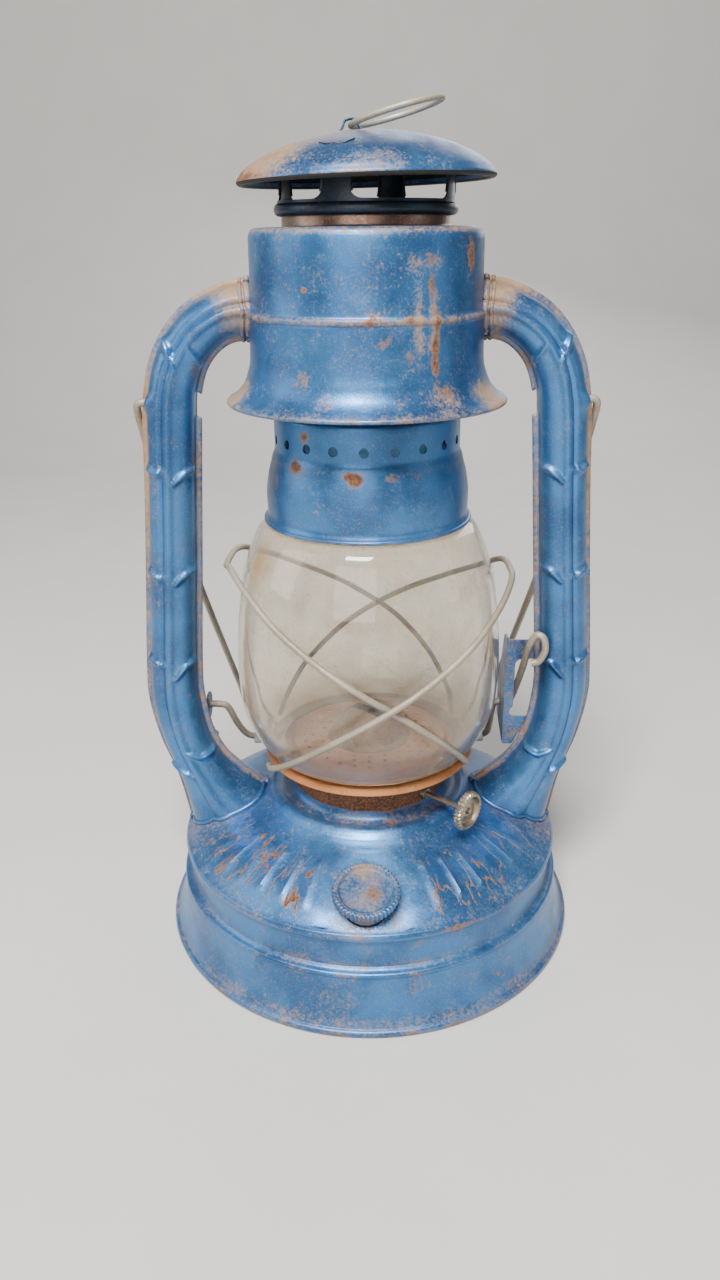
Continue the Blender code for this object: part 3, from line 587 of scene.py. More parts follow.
def cut(obj, bm, operation="DIFFERENCE"):
    """Applies a Boolean with the cutter bmesh (in millimetres), and leaves no cutter behind."""
    mesh = finish_mesh("cutter", bm)
    cutter = placed("cutter", mesh)
    modifier = obj.modifiers.new("Cut", "BOOLEAN")
    modifier.object = cutter
    modifier.operation = operation
    modifier.solver = "EXACT"
    bpy.context.view_layer.update()
    evaluated = obj.evaluated_get(bpy.context.evaluated_depsgraph_get())
    result = bpy.data.meshes.new_from_object(evaluated)
    obj.modifiers.remove(modifier)
    old = obj.data
    result.name = old.name
    obj.data = result
    bpy.data.meshes.remove(old)
    bpy.data.objects.remove(cutter, do_unlink=True)
    bpy.data.meshes.remove(mesh)
    result.set_sharp_from_angle(angle=math.radians(35))


def rods_bmesh(ends, radius, sides=12):
    """Several round bars in one bmesh, for cutting holes."""
    bm = bmesh.new()
    for start, end in ends:
        start, end = Vector(start), Vector(end)
        turn = Vector((0, 0, 1)).rotation_difference(end - start).to_matrix().to_4x4()
        place = Matrix.Translation((start + end) / 2) @ turn
        sizes = {"radius1": radius, "radius2": radius, "depth": (end - start).length}
        bmesh.ops.create_cone(bm, cap_ends=True, segments=sides, matrix=place, **sizes)
    return bm


def bead(x, centre, half_width):
    """Rounded ridge: 1 at its centre, 0 beyond about twice its half width."""
    return math.exp(-(((x - centre) / half_width) ** 2))


def height_on(line, radius):
    """Height at a radius of a (r, z) line that runs inwards; beyond its ends it stays level."""
    for (r0, z0), (r1, z1) in zip(line, line[1:]):
        if r1 <= radius <= r0:
            return z0 + (z1 - z0) * (r0 - radius) / (r0 - r1)
    return line[0][1] if radius > line[0][0] else line[-1][1]


# ---- tank ----
DOME = [(74.4, 38.9), (72.5, 40.0), (67.0, 44.0), (60.0, 47.6), (52.0, 50.6), (45.0, 53.4), (41.4, 55.6)]
DOME_LINE = curve2(DOME, 4)  # coarser, for finding heights


def filler_matrix():
    foot = polar(FILLER_DISTANCE, FILLER_AZIMUTH, FILLER_Z)
    outward = Vector((-math.sin(FILLER_AZIMUTH), math.cos(FILLER_AZIMUTH), 0))
    return Matrix.Translation(foot) @ Matrix.Rotation(FILLER_TILT, 4, outward)


def raised_bars(r, angle):
    """Plain raised bars fanned out on the dome at both sides of the filler."""
    side = abs((math.degrees(angle) - 270 + 180) % 360 - 180)
    if not 17 < side < 74:
        return 0.0
    along = max(0.0, min(1.0, (r - 50.5) / 2, (69.5 - r) / 2))
    across = ((side - 17) % 8.0 - 4.0) * math.radians(1) * r
    return 0.75 * along * bead(across, 0.0, 1.1)


def build_tank():
    rim = arc(81.0, 1.5, 1.5, 200, 450, 12)
    flare = curve2([(80.9, 3.1), (79.5, 6.0), (78.2, 10.5), (77.1, 15.5), (76.5, 20.6)], 5)
    step = curve2([(76.3, 21.4), (76.6, 22.3), (76.1, 23.3), (74.7, 23.9), (73.7, 24.8)], 4)
    wall = [(73.5, 27.0), (73.5, 34.4), (74.0, 35.4), (74.9, 36.2), (75.1, 37.4), (74.4, 38.9)]
    dome = curve2(DOME, 9)[1:]
    top = [(40.2, 57.0), (38.4, 58.1), (36.6, 58.0), (34.6, 57.2), (32.4, 57.8), (31.0, 59.6), (30.6, 62.0)]
    neck = [(NECK_R, 64.5), (NECK_R, 70.8), (31.0, 71.6), (31.3, 72.4), (31.0, 73.2), (30.4, 73.4)]
    outline = rim + flare + step + curve2(wall, 4) + dome + curve2(top, 4) + neck

    def dress_dome(r, z, angle):
        """Adds the raised bars and the shallow moat round the filler."""
        if 45 < r < 73 and z > 38:
            away = (polar(r, angle) - polar(FILLER_DISTANCE, FILLER_AZIMUTH)).length
            z += raised_bars(r, angle) - 0.8 * bead(away, 12.5, 4.0)
        return r, z

    profile = [p for p in shell(outline) if p[1] > -0.01]
    tank = turned("tank_shell", profile, "tank", "frame", steps=300, displace=dress_dome)
    mouth = turned_bmesh([(0.0, -10.0), (8.9, -10.0), (8.9, 12.0), (0.0, 12.0)], 40)
    cut(tank, moved(mouth, filler_matrix()))
    cut(tank, rods_bmesh([(shaft_point(NECK_R - 4), shaft_point(NECK_R + 4))], 2.5, 20))


def build_filler():
    place = filler_matrix()
    neck = [(7.4, -7.0), (8.2, -7.0), (8.2, 0.6)]
    for i in range(3):
        neck += arc(8.2, 1.5 + 1.6 * i, 0.45, -80, 80, 4)
    neck += [(8.2, 5.6), (7.9, 5.8), (7.4, 5.8)]
    turned("filler_neck", neck, "filler", "frame", steps=64, matrix=place)
    cap = [(0.0, 8.25), (0.0, 8.9)]
    cap += curve2([(0.5, 8.9), (5.0, 8.9), (8.6, 8.8), (9.3, 9.0), (9.9, 9.7)], 3)
    cap += arc(10.9, 9.0, 0.85, 130, 0, 6) + [(11.7, 7.8), (11.6, 7.2)] + arc(10.9, 7.0, 0.6, 0, -90, 4)
    cap += [(9.9, 6.2), (9.75, 5.7), (9.1, 5.7), (9.1, 8.2)]
    rim = knurled(10.6, 0.34, 46)
    turned("filler_cap", cap, "filler", "filler_cap", steps=276, displace=rim, matrix=place)


# ---- burner ----
def shaft_point(along):
    return polar(along, SHAFT_AZIMUTH, SHAFT_Z) + polar(SHAFT_OFFSET, SHAFT_AZIMUTH + math.pi / 2)


def along_shaft():
    tilt = Matrix.Rotation(math.pi / 2, 4, "Y")
    return Matrix.Translation(shaft_point(0)) @ Matrix.Rotation(SHAFT_AZIMUTH, 4, "Z") @ tilt


def build_knob():
    """Dished thumb wheel with a knurled rim."""
    low, high = KNOB_AT - 1.5, KNOB_AT + 1.6
    under = [(2.7, low + 0.5), (4.2, low + 0.9), (5.2, low + 0.5)]
    edge = [(5.9, low), (6.9, low + 0.2), (7.2, low + 1.0), (7.2, high - 0.7), (6.8, high), (6.0, high)]
    dish = [(5.6, high - 0.6), (4.9, low + 1.5), (3.4, low + 1.6), (2.3, low + 1.9), (1.3, low + 1.9)]
    profile = [(1.3, low + 0.1), (2.5, low + 0.1)] + curve2(under, 4) + curve2(edge, 4) + curve2(dish, 4)
    rim = knurled(6.5, 0.28, 28)
    turned("wick_knob", profile, "tin", "wick_raiser", steps=168, displace=rim, matrix=along_shaft())
    shaft = [shaft_point(a) for a in (-8.5, 0, 10, 20, 30, 40, KNOB_AT + 1.4)]
    wire("wick_shaft_skin", shaft, 1.0, "tin", "wick_raiser", "wick_shaft")


def build_burner():
    dome = [(16.2, 77.9), (14.2, 78.1), (13.3, 79.6), (12.9, 82.6), (11.2, 85.8), (7.2, 88.0), (0.0, 88.8)]
    cone = turned("burner_cone", shell(curve2(dome)), "rusty", "globe_carriage", steps=96)
    slot = prism_bmesh(rounded([(-9.4, -2.5), (9.4, -2.5), (9.4, 2.5), (-9.4, 2.5)], 2.4, 5), "Z", 83.4, 10)
    cut(cone, moved(slot, Matrix.Rotation(SHAFT_AZIMUTH, 4, "Z")))
    build_knob()


# ---- globe carriage ----
GLOBE = [
    (34.6, 74.9), (36.0, 75.6), (40.6, 78.2), (43.6, 82.2), (47.0, 89.0), (49.2, 97.0), (49.9, 110.0),
    (49.6, 120.0), (48.3, 134.0), (45.8, 149.0), (40.4, 162.6), (36.4, 166.4), (34.0, 168.4), (33.2, 171.4),
]  # fmt: skip


def build_globe():
    wall = shell(curve2(GLOBE), GLASS)
    turned("globe", wall, "glass", "globe_carriage", steps=160, sharp=60.0, name="globe_glass")


def build_globe_plate():
    top = [(12.4, 77.4), (29.0, 77.4)] + curve2([(30.2, 77.2), (31.0, 75.8), (31.8, 74.7), (33.4, 74.4)], 4)
    top += [(36.4, 74.4)] + curve2([(37.4, 75.2), (38.4, 76.2), (39.6, 76.0), (40.6, 75.0), (41.0, 74.0)], 4)
    under = [(40.6, 73.7), (40.2, 74.4), (39.2, 75.3), (38.3, 75.5), (37.4, 74.3), (36.6, 73.8)]
    under += [(33.2, 73.8), (30.9, 74.4), (29.7, 76.6), (28.6, 76.9), (12.4, 76.9)]
    plate = turned("globe_plate", top + under, "rusty_rim", "globe_carriage", steps=144)
    ends = []
    for radius, count in ((19.0, 20), (22.4, 24), (25.8, 28)):
        for i in range(count):
            angle = 2 * math.pi * i / count
            ends.append((polar(radius, angle, 75), polar(radius, angle, 79)))
    cut(plate, rods_bmesh(ends, 0.85, 8))
    for side, sign in (("left", -1), ("right", 1)):
        shelf = [(33.2, 13.0), (47.9, 13.0), (47.9, 33.8), (43.4, 33.8), (43.4, 19.6), (33.2, 19.6)]
        shelf = rounded([(sign * x, y) for x, y in shelf], 1.5)
        wing = flat_plate(f"lift_wing_{side}", shelf, "Z", 66.3, 0.7, "guide", "globe_carriage")
        riser = [(sign * 33.2, 13.2), (sign * 34.0, 13.2), (sign * 34.0, 19.4), (sign * 33.2, 19.4)]
        cut(wing, prism_bmesh(riser, "Z", 66.5, 6.9), "UNION")


GUARD_STATIONS = (  # azimuth from the side loop in degrees, height, distance outside the glass
    (0, 147.0, 6.6), (14, 146.2, 6.0), (30, 139.6, 3.2), (50, 130.8, 1.6), (70, 121.4, 1.5),
    (86, 112.8, 1.5), (104, 101.8, 1.5), (122, 89.8, 1.6), (140, 79.6, 2.2), (152, 75.4, 4.6),
)  # fmt: skip


def globe_radius(z):
    for (r0, z0), (r1, z1) in zip(GLOBE, GLOBE[1:]):
        if z0 <= z <= z1:
            return r0 + (r1 - r0) * (z - z0) / (z1 - z0)
    return GLOBE[0][0]


def guard_path(sign, raise_by, stand_off):
    points = []
    for azimuth, z, clear in GUARD_STATIONS:
        z += raise_by * min(1.0, (azimuth + 12) / 36, (152 - azimuth) / 40)
        radius = globe_radius(z) + clear + stand_off * math.sin(math.radians(min(azimuth, 90)))
        turn = math.radians(azimuth)
        points.append(Vector((sign * radius * math.cos(turn), radius * math.sin(turn), z)))
    front = [Vector((p.x, -p.y, p.z)) for p in points[1:]]
    return smooth_path(points[::-1] + front, 8)


def build_guards():
    for side, sign, raise_by, stand_off in (("right", 1, 0.0, 3.2), ("left", -1, 7.5, 0.6)):
        path = guard_path(sign, raise_by, stand_off)
        name = f"guard_wire_{side}"
        wire(f"{name}_skin", path, 1.15, "wire", "globe_carriage", name)


# ---- crown ----
SPRING_R, SPRING_PITCH, SPRING_WIRE = 31.2, 10.7, 0.7
SPRING_FOOT, SPRING_MIDDLE, SPRING_TOP = 208.0, 231.0, 261.4
SPRING_GAP = 0.7  # each coil stops this far short of the middle, so that squashed turns stay clear
CAP_TOP = curve2([
    (40.7, 278.8), (39.4, 280.4), (36.4, 282.6), (30.6, 285.6), (22.0, 288.4), (12.0, 290.6), (0.0, 291.4),
], 6)  # fmt: skip


def cap_tilt():
    """The cap sits a little askew, higher on the right."""
    middle = Vector((0, 0, 284.0))
    return Matrix.Translation(middle) @ Matrix.Rotation(-CAP_TILT, 4, "Y") @ Matrix.Translation(-middle)


def build_crown():
    foot = arc(36.6, 168.0, 0.75, 230, 450, 10)
    bell = curve2([(36.5, 169.0), (35.9, 170.6), (36.0, 174.0), (35.9, 179.0), (35.0, 184.6), (33.9, 188.6)])
    bell += curve2([(33.7, 189.6), (33.3, 191.0), (32.6, 192.6), (32.5, 194.5)], 4) + [(32.5, 202.6)]
    bell += arc(30.4, 204.0, 2.1, 0, 90, 6) + [(28.0, 206.3)]
    bell_obj = turned("bell", shell(foot + bell), "bell", "crown", steps=160)
    angles = [math.radians(-92.5 + 18 * i) for i in range(20)]
    vents = [(polar(29.0, a, 196.9), polar(36.0, a, 196.9)) for a in angles]
    cut(bell_obj, rods_bmesh(vents, 1.65, 20))

    tube = [(26.7, 200.0), (27.3, 200.0), (27.3, 262.4)] + arc(27.2, 263.4, 0.5, -60, 60, 5)
    tube += [(27.3, 264.4), (27.3, 270.2), (26.7, 270.2)]
    turned("chimney_tube", tube, "chimney", "crown")
    build_gallery()

    rim = arc(40.2, 277.6, 1.15, 200, 400, 10)
    under = curve2([(12.0, 290.0), (22.0, 287.8), (30.4, 285.0), (36.0, 282.0), (38.6, 279.8)], 4)
    profile = rim + CAP_TOP + [(0.0, 290.8)] + under + [(39.2, 278.4)]
    turned("cap", profile, "cap", "crown", steps=160, matrix=cap_tilt())
    build_cap_fittings()
    build_spring()


def build_gallery():
    low = curve2([(28.3, 266.8), (29.1, 267.2), (29.6, 268.2), (29.6, 269.2), (29.2, 270.1), (28.6, 270.5)])
    gallery = turned("gallery", shell(low + [(28.5, 271.2), (28.5, 284.0)], 0.7), "dark", "crown")
    outline = rounded([(-16.6, 271.3), (16.6, 271.3), (17.2, 282.6), (-17.2, 282.6)], 3.4, 6)
    for i in range(4):
        window = prism_bmesh(outline, "X", 12.0, 24.0)
        cut(gallery, moved(window, Matrix.Rotation(math.radians(-64 + 90 * i), 4, "Z")))
        post = math.radians(-109 + 90 * i)
        for side in (-1, 1):
            name = f"gallery_fold_{2 * i + (side > 0)}"
            leg = ((9.8, 273.2), (8.9, 276.5), (8.8, 282.4))
            leg = [polar(28.2, post + side * math.radians(a), z) for a, z in leg]
            wire(name, smooth_path(leg, 5), 0.55, "dark", "crown")


def coil_bmesh(low, high):
    """Closed helix of round wire from one height to another."""
    per_turn, sides = 40, 10
    bm = bmesh.new()
    rings = []
    for i in range(round((high - low) / SPRING_PITCH * per_turn) + 1):
        angle = 2 * math.pi * i / per_turn
        ring = []
        for k in range(sides):
            turn = 2 * math.pi * k / sides
            radius = SPRING_R + SPRING_WIRE * math.cos(turn)
            z = low + SPRING_PITCH * i / per_turn + SPRING_WIRE * math.sin(turn)
            ring.append(bm.verts.new(polar(radius, angle, z)))
        rings.append(ring)
    for ring, following in zip(rings, rings[1:]):
        join_rings(bm, ring, following)
    bm.faces.new(rings[0])
    bm.faces.new(rings[-1][::-1])
    return bm


def build_spring():
    """The crown's spring as two lengths of coil: the upper rides on the frame and the lower on the crown."""
    for name, body, joint, low, high, fixed in (
        ("crown_spring_upper", "frame", "crown_lift", SPRING_MIDDLE + SPRING_GAP, SPRING_TOP, SPRING_TOP),
        ("crown_spring_lower", "crown", "globe_lift", SPRING_FOOT, SPRING_MIDDLE - SPRING_GAP, SPRING_FOOT),
    ):
        nodes = ["crown_spring"] if body == "frame" else []
        coil = piece(name, finish_mesh(name, coil_bmesh(low, high)), "spring", body, *nodes)
        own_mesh(coil)


def build_cap_fittings():
    strap = [(-5.2, -2.5), (-3.8, -2.2), (-2.7, -0.6), (-2.0, 0.9), (0, 1.55)]
    strap += [(2.0, 0.9), (2.7, -0.4), (3.6, -1.6), (4.8, -1.9)]
    strap = [(RING_X + x, RING_Z + 0.7 + z) for x, z in curve2(strap, 4)]
    clip = flat_plate("ring_clip", shell(strap, -0.6), "Y", -2.3, 4.6, "cap", "crown")
    bevel = clip.modifiers.new("Edges", "BEVEL")
    bevel.width = 0.15 * MM
    bevel.segments = 2
    bevel.limit_method = "ANGLE"
    bevel.angle_limit = math.radians(40)
    # A thin near-black wire along the lanced slit of the cap's tab: painted shade of the slit, laid on the
    # surface.
    tab = []
    for x, y in ((-13.6, -25.2), (-12.0, -27.6), (-6.2, -29.6), (-3.4, -26.8)):
        height = Vector((x, y, height_on(CAP_TOP, math.hypot(x, y)) + 0.05))
        tab.append(cap_tilt() @ height)
    wire("cap_tab_slit_painted_shade", tab, 0.25, "dark", "crown")
    ring = []
    for i in range(96):
        angle = 2 * math.pi * i / 96
        flat = Vector((RING_R * (1 - math.cos(angle)), RING_R * math.sin(angle), 0))
        ring.append(Matrix.Rotation(-RING_LEAN, 3, "Y") @ flat + Vector((RING_X, 0, RING_Z)))
    wire("lift_ring_skin", ring, 0.95, "wire", "lift_ring", "lift_ring", cyclic=True)


# ---- hood ----
HOOD_SIDE = [(40.6, 218.6), (39.7, 222.0), (39.4, 228.0), (39.4, 235.0)]


def build_hood():
    lip = arc(47.4, 209.3, 0.75, 220, 420, 8)
    flare = curve2([(47.4, 210.3), (45.2, 211.6), (42.8, 214.0), (41.4, 216.4), *HOOD_SIDE], 5)
    crease = curve2([(39.4, 235.8), (39.9, 236.6), (39.9, 237.6), (39.2, 238.5), (38.9, 239.6)], 4)
    top = [(38.5, 250.0), (38.4, 259.6)] + curve2([(38.3, 261.2), (37.6, 262.8), (36.0, 263.5)], 4)
    top += [(33.0, 263.7)] + curve2([(30.6, 263.6), (29.2, 263.2), (28.7, 262.2)], 4) + [(28.7, 259.4)]
    hood = turned("hood", shell(lip + flare + crease + top), "hood", "frame", steps=180)
    ports = [((sign * 30, 0, 238), (sign * 48, 0, 238)) for sign in (-1, 1)]
    cut(hood, rods_bmesh(ports, 7.4, 24))


# ---- air tubes ----
TUBE_STATIONS = (  # outer seam edge (x, z), inner seam edge (x, z), half depth, from the hood to the tank
    ((36.0, 248.8), (36.0, 229.2), 8.6),
    ((48.6, 247.0), (46.4, 227.4), 8.9),
    ((62.6, 239.4), (53.4, 221.0), 9.0),
    ((72.8, 226.0), (56.8, 212.0), 9.1),
    ((77.7, 208.2), (57.6, 202.4), 9.1),
    ((79.8, 180.0), (59.2, 180.0), 9.1),
    ((82.2, 150.0), (61.4, 148.0), 9.1),
    ((85.6, 110.0), (64.1, 110.0), 9.3),
    ((86.0, 94.0), (64.2, 96.0), 9.6),
    ((82.9, 77.0), (61.4, 80.0), 10.4),
    ((77.4, 60.0), (53.8, 66.4), 12.0),
    ((74.2, 43.0), (41.8, 56.3), 13.6),
    ((72.8, 36.0), (34.0, 50.0), 14.4),
)
FIN = 2.0
PER_SPAN = 36
ACROSS = 56
ALONG = 400
HOOD_ENTRY_R = 38.7  # radius in the hood where the tubes end
DOME_CLEAR = 0.45  # height above the dome where they end
FIN_GAP = (203.2, 211.0)  # heights between which the inner seam's fin is cut away
PRESSED_BEADS = (  # height, half width, then the bead's line down the middle as (x, z)
    (1.6, 1.1, ((64.2, 221.0), (66.0, 226.0), (68.6, 232.0))),
    (1.0, 0.9, ((59.8, 228.0), (56.4, 223.2), (54.0, 217.6))),
    (1.5, 0.9, ((69.4, 187.0), (73.8, 185.0), (78.6, 188.0))),
    (1.6, 0.95, ((60.2, 186.6), (63.6, 185.4), (68.2, 181.6))),
    (1.5, 0.9, ((71.4, 148.8), (75.6, 146.6), (80.6, 149.4))),
    (1.6, 0.95, ((62.4, 150.0), (66.2, 148.6), (70.4, 144.8))),
    (1.5, 0.9, ((74.2, 114.6), (78.0, 112.2), (83.6, 115.2))),
    (1.6, 0.95, ((65.2, 113.6), (69.2, 111.8), (73.2, 107.0))),
    (1.6, 0.95, ((59.6, 77.0), (62.2, 74.4), (66.0, 73.4), (70.8, 75.6))),
    (1.5, 0.9, ((69.0, 65.8), (72.2, 66.4), (77.2, 69.4))),
    (2.3, 2.9, ((76.0, 208.8), (76.6, 208.8))),  # boss round the bail's pivot
)


def distance_to(line, x, z):
    """Distance of (x, z) from a line of straight spans."""
    least = 1e9
    for (ax, az), (bx, bz) in zip(line, line[1:]):
        dx, dz = bx - ax, bz - az
        share = max(0.0, min(1.0, ((x - ax) * dx + (z - az) * dz) / (dx * dx + dz * dz)))
        least = min(least, math.hypot(x - ax - dx * share, z - az - dz * share))
    return least


def tube_relief(share, x, z):
    """Height of the pressed ribs on a tube's face; share runs from its outer side (0) to its inner (1)."""
    along = 1.2 * bead(share, 0.49, 0.04) - 0.9 * bead(share, 0.412, 0.032)
    across = 0.0
    for peak, half_width, line in PRESSED_BEADS:
        if abs(z - line[0][1]) < 14:
            across = max(across, peak * bead(distance_to(line, x, z), 0.0, half_width))
    return along + max(0.0, across - max(along, 0.0))


def tube_columns():
    """Outside points of the right tube's rear half, one list per column from hood to tank."""
    outer = smooth_path([(x, 0, z) for (x, z), _, _ in TUBE_STATIONS], PER_SPAN)
    inner = smooth_path([(x, 0, z) for _, (x, z), _ in TUBE_STATIONS], PER_SPAN)
    depths = [p.x for p in smooth_path([(h, 0, 0) for _, _, h in TUBE_STATIONS], PER_SPAN)]
    fin_y = GAP / 2 + SHEET
    columns = [[] for _ in range(ACROSS + 5)]
    for out, into, depth in zip(outer, inner, depths):
        middle, half = (out + into) / 2, (out - into) / 2
        body = 1 - FIN / half.length
        inner_fin = 1.0 - body if not FIN_GAP[0] < into.z < FIN_GAP[1] else 0.2 / half.length
        row = [(1.0, 0.0), (1.0 - FIN * 0.75 / half.length, 0.0)]
        for k in range(ACROSS + 1):
            angle = math.pi * k / ACROSS
            cosine, sine = math.cos(angle), math.sin(angle)
            across = body * math.copysign(abs(cosine) ** 0.85, cosine)
            normal = Vector((cosine * depth, sine * half.length * body)).normalized()
            spot = middle + half * across
            lift = tube_relief(k / ACROSS, spot.x, spot.z) * max(0.0, min(1.0, 2.2 * sine - 0.25))
            row.append((across + normal.x * lift / half.length, depth * sine**0.85 + normal.y * lift))
        row += [(-body - inner_fin * 0.25, 0.0), (-body - inner_fin, 0.0)]
        for column, (across, bulge) in zip(columns, row):
            spot = middle + half * across
            column.append(Vector((spot.x, fin_y + bulge, spot.z)))
    return columns


def trimmed(column, count):
    """The part of a column between the hood and the dome, resampled to count points."""

    def inside(point):
        """Whether a point is past the hood's wall or under the dome."""
        radius = math.hypot(point.x, point.y)
        if point.z > 212:
            return radius < HOOD_ENTRY_R
        return point.z < 62 and point.z < height_on(DOME_LINE, radius) + DOME_CLEAR

    kept = []
    for a, b in zip(column, column[1:]):
        if inside(a) != inside(b):
            low, high = (a, b) if inside(a) else (b, a)
            for _ in range(12):
                middle = (low + high) / 2
                low, high = (middle, high) if inside(middle) else (low, middle)
            kept.append(high)
        if not inside(b):
            kept.append(b)
    lengths = [0.0]
    for a, b in zip(kept, kept[1:]):
        lengths.append(lengths[-1] + (b - a).length)
    points, i = [], 0
    for k in range(count):
        target = lengths[-1] * k / (count - 1)
        while i < len(kept) - 2 and lengths[i + 1] < target:
            i += 1
        share = (target - lengths[i]) / max(lengths[i + 1] - lengths[i], 1e-9)
        points.append(kept[i].lerp(kept[i + 1], min(1.0, share)))
    return points


def build_tubes():
    columns = [trimmed(column, ALONG) for column in tube_columns()]
    for side, sign in (("left", -1), ("right", 1)):
        seams = {}
        for half, face in (("front", -1), ("rear", 1)):
            grid = [[Vector((sign * p.x, face * p.y, p.z)) for p in column] for column in columns]
            bm = bmesh.new()
            verts = [[bm.verts.new(p) for p in column] for column in grid]
            for a, b in zip(verts, verts[1:]):
                for k in range(len(a) - 1):
                    bm.faces.new((a[k], a[k + 1], b[k + 1], b[k]))
            name = f"{side}_tube_{half}"
            mesh = finish_mesh(f"{name}_skin", bm, 50)
            if sum(p.normal.y * p.area for p in mesh.polygons) * face < 0:
                mesh.flip_normals()
            tube = piece(f"{name}_skin", mesh, "tube", "frame", name)
            solid = tube.modifiers.new("Sheet", "SOLIDIFY")
            solid.thickness = SHEET * MM
            solid.offset = -1
            seams[half] = [[c[k] for c in grid] for k in (-1, 1, 5)]
        for end, (label, radius) in enumerate((("foot", 1.0), ("collar", 1.1), ("collar_outer", 0.7))):
            loop = seams["front"][end] + seams["rear"][end][::-1]
            lift = Vector((0, 0, 0.2)) if end == 0 else Vector((sign * 0.4, 0, 0))
            name = f"{side}_tube_{label}_bead"
            wire(name, [p + lift for p in loop], radius, "tube", "frame", cyclic=True)


# ---- globe lift and bail ----
def build_lift():
    web = [(53.6, 71.6), (57.6, 71.6), (62.4, 82.0), (64.7, 92.0), (65.2, 106.0)]
    web += [(64.6, 117.0), (53.6, 117.0)]
    bracket = flat_plate("lift_bracket", rounded(web, 0.8), "Y", 1.2, LUG_SHEET, "small_blue", "frame")
    flange = [(1.2, 71.6), (19.5, 78.0), (19.5, 90.0), (9.0, 117.0), (1.2, 117.0)]
    cut(bracket, prism_bmesh(rounded(flange, 2.0), "X", 53.6, LUG_SHEET), "UNION")
    slot = [
        (57.2, 107.0), (57.8, 108.2), (59.2, 109.0), (68.0, 109.0), (68.0, 84.0),
        (56.9, 84.0), (55.8, 85.4), (56.2, 87.4), (57.2, 88.2),
    ]  # fmt: skip
    cut(bracket, prism_bmesh(rounded(slot, 0.7), "Y", -4, 10))
    cut(bracket, rods_bmesh([((50, PIVOT_Y, PIVOT_Z), (57, PIVOT_Y, PIVOT_Z))], 1.8, 24))

    lug = [(9.9, 78.6), (16.4, 79.2), (19.4, 82.0), (19.4, 86.6), (16.4, 89.2), (9.9, 89.8)]
    lug_obj = flat_plate("pivot_lug", rounded(lug, 2.0), "X", -65.6, LUG_SHEET, "small_blue", "frame")
    cut(lug_obj, rods_bmesh([((-70, PIVOT_Y, PIVOT_Z), (-60, PIVOT_Y, PIVOT_Z))], 1.8, 24))

    handle = [
        (61.4, -8.2, 111.4), (64.4, -8.6, 112.6), (66.2, -9.2, 117.2), (65.2, -9.2, 122.2),
        (62.6, -8.0, 122.6), (60.6, -6.2, 117.2), (59.6, 0.0, 104.8), (58.6, 9.4, 90.6),
        (57.6, PIVOT_Y - 0.6, PIVOT_Z + 0.6), (55.6, PIVOT_Y, PIVOT_Z), (52.6, PIVOT_Y, PIVOT_Z),
    ]  # fmt: skip
    toe = [
        (51.4, 15.0, 82.2), (51.0, 18.6, 72.6), (50.4, 20.8, 66.8), (48.4, 22.2, 64.6), (45.4, 22.5, 64.3),
        (43.0, 23.8, 64.2), (39.0, 28.6, 63.9), (33.6, 34.0, 63.6), (26.0, 36.0, 63.5),
    ]  # fmt: skip
    left = [(-x, y, z) for x, y, z in toe]
    left[:3] = [(-57.8, 15.0, 82.2), (-55.0, 18.2, 73.4), (-52.0, 20.8, 67.0)]
    end = [(-60.8, PIVOT_Y, PIVOT_Z), (-69.0, PIVOT_Y, PIVOT_Z)]
    path = handle + toe + [(0.0, 36.0, 63.5)] + left[::-1] + end
    wire("lift_crank_skin", smooth_path(path, 7), HEAVY_WIRE, "wire", "lift_crank", "lift_crank")


def build_bail():
    leg = [(70.5, 0.0), (77.6, 0.0), (79.6, 0.9), (80.1, 3.6), (79.8, 9.0), (78.0, 26.0)]
    leg += [(68.9, 86.0), (62.5, 124.0)]
    arc_from, arc_width, reach = 150.0, 58.0, 205.0
    angles = [math.pi / 2 * i / 6 for i in range(6)]
    half = leg + [(arc_width * math.cos(a), arc_from + (reach - arc_from) * math.sin(a)) for a in angles]
    flat = half + [(0.0, reach)] + [(-w, d) for w, d in reversed(half)]
    lean = (math.sin(BAIL_LEAN), -math.cos(BAIL_LEAN))
    points = [(w, d * lean[0], BAIL_PIVOT_Z + d * lean[1]) for w, d in flat]
    wire("bail_handle_skin", smooth_path(points, 8), HEAVY_WIRE, "wire", "bail", "bail_handle")


def dress_frame():
    """Better materials on the CAD nodes that stay."""
    brass = ("burner_collar", "burner_body", "burner_screen", "wick_tube")
    sprockets = ("wick_sprocket_inner", "wick_sprocket_outer")
    for finish, nodes in (
        ("tank", ("tank_bottom",)),
        ("guide", ("fount_deck",)),
        ("brass", brass + sprockets),
        ("tin", ("shaft_bushing",)),
        ("cotton", ("wick",)),
        ("cork", ("filler_gasket",)),
    ):
        for node in nodes:
            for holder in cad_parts[node].material_slots:
                holder.material = WEAR[finish]


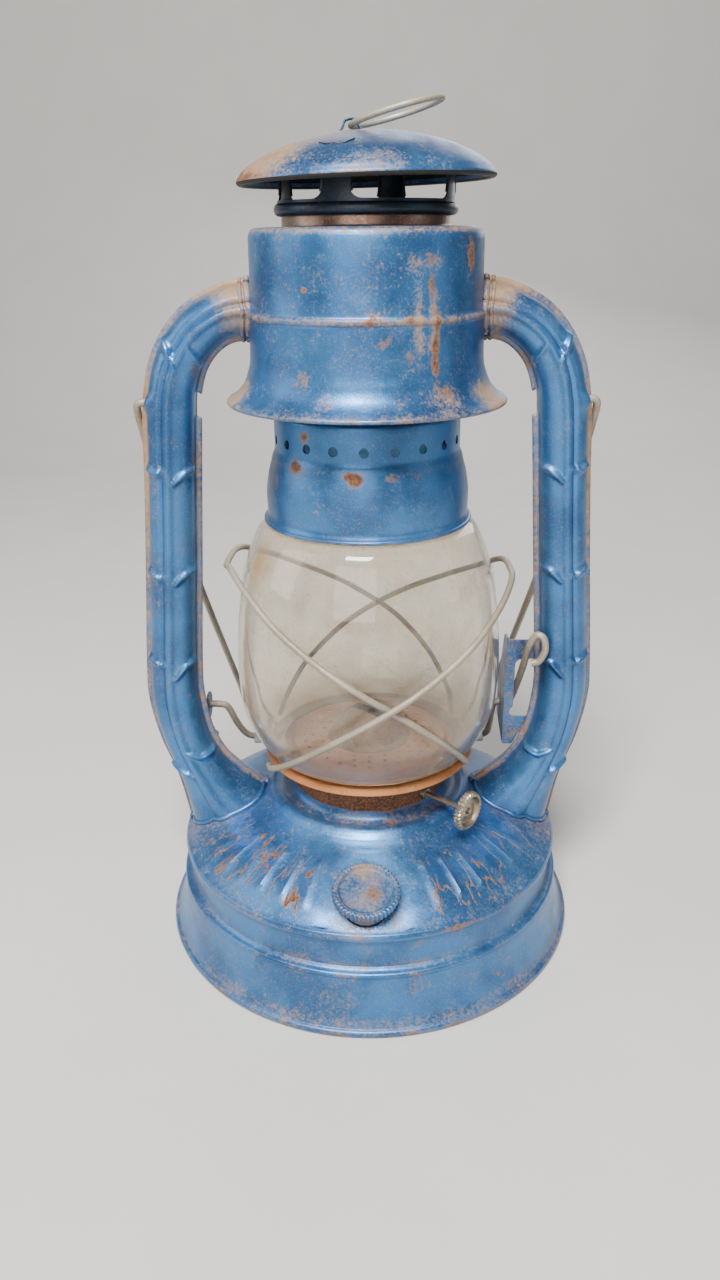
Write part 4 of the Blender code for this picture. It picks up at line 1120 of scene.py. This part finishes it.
# ---- stage, lights and camera ----
def build_stage():
    s = Shader("pale_floor")
    s.set(Base_Color=s.mix(s.noise(60, 3), (0.60, 0.59, 0.57), (0.66, 0.65, 0.63)), Roughness=0.85)
    mesh = bpy.data.meshes.new("floor")
    reach, back, rise = 1.6, 1.3, 1.4
    outline = [(-reach, 0.0), *arc(back - 0.5, 0.5, 0.5, -90, 0, 16), (back, rise)]
    verts = [(side * reach, y, z) for y, z in outline for side in (-1, 1)]
    faces = [(2 * i, 2 * i + 1, 2 * i + 3, 2 * i + 2) for i in range(len(outline) - 1)]
    mesh.from_pydata(verts, [], faces)
    mesh.shade_smooth()
    mesh.materials.append(s.material)
    placed("floor", mesh)


def build_lights():
    """Soft panels that all face the lantern's middle; places and sizes in metres, power in watts."""
    middle = Vector((0.0, 0.0, 0.14))
    warm, cool, white = (1.0, 0.98, 0.95), (0.93, 0.96, 1.0), (1.0, 1.0, 1.0)
    for name, place, size, power, colour in (
        ("key", (-0.15, -0.68, 1.20), (0.45, 0.35), 36.0, warm),
        ("front", (-0.25, -1.15, 0.50), (0.8, 0.8), 5.5, warm),
        ("fill", (0.95, -0.35, 0.55), (0.6, 0.9), 1.0, cool),
        ("left", (-0.95, -0.1, 0.6), (0.5, 0.9), 3.5, warm),
        ("back", (0.3, 1.0, 0.6), (0.9, 0.6), 4.0, white),
    ):
        light = bpy.data.lights.new(name, "AREA")
        light.shape = "RECTANGLE"
        light.size, light.size_y = size
        light.energy = power
        light.color = colour
        panel = placed(name, light)
        panel.location = place
        panel.rotation_euler = (middle - Vector(place)).to_track_quat("-Z", "Y").to_euler()
    world = bpy.data.worlds.new("studio")
    world.use_nodes = True
    background = world.node_tree.nodes["Background"]
    background.inputs["Color"].default_value = (0.80, 0.83, 0.88, 1.0)
    background.inputs["Strength"].default_value = 0.13
    bpy.context.scene.world = world


def build_camera():
    """The lantern seen from its filler side, from a little above its top and quite close."""
    data = bpy.data.cameras.new("camera")
    data.sensor_fit = "VERTICAL"
    data.sensor_height = 36.0
    data.lens = 26.84
    data.clip_start = 0.01
    camera = placed("camera", data)
    camera.location = (-0.0032, -0.3367, 0.2619)
    tilt = Matrix.Rotation(math.radians(90 - 23.12), 4, "X")
    roll = Matrix.Rotation(math.radians(-0.53), 4, "Z")
    camera.rotation_euler = (tilt @ roll).to_euler()
    bpy.context.scene.camera = camera


def main():
    build_camera()
    make_enamels()
    make_bare_metals()
    WEAR["glass"] = make_glass()
    build_tank()
    build_filler()
    build_burner()
    build_globe_plate()
    build_globe()
    build_guards()
    build_crown()
    build_hood()
    build_tubes()
    build_lift()
    build_bail()
    dress_frame()
    build_stage()
    build_lights()


main()
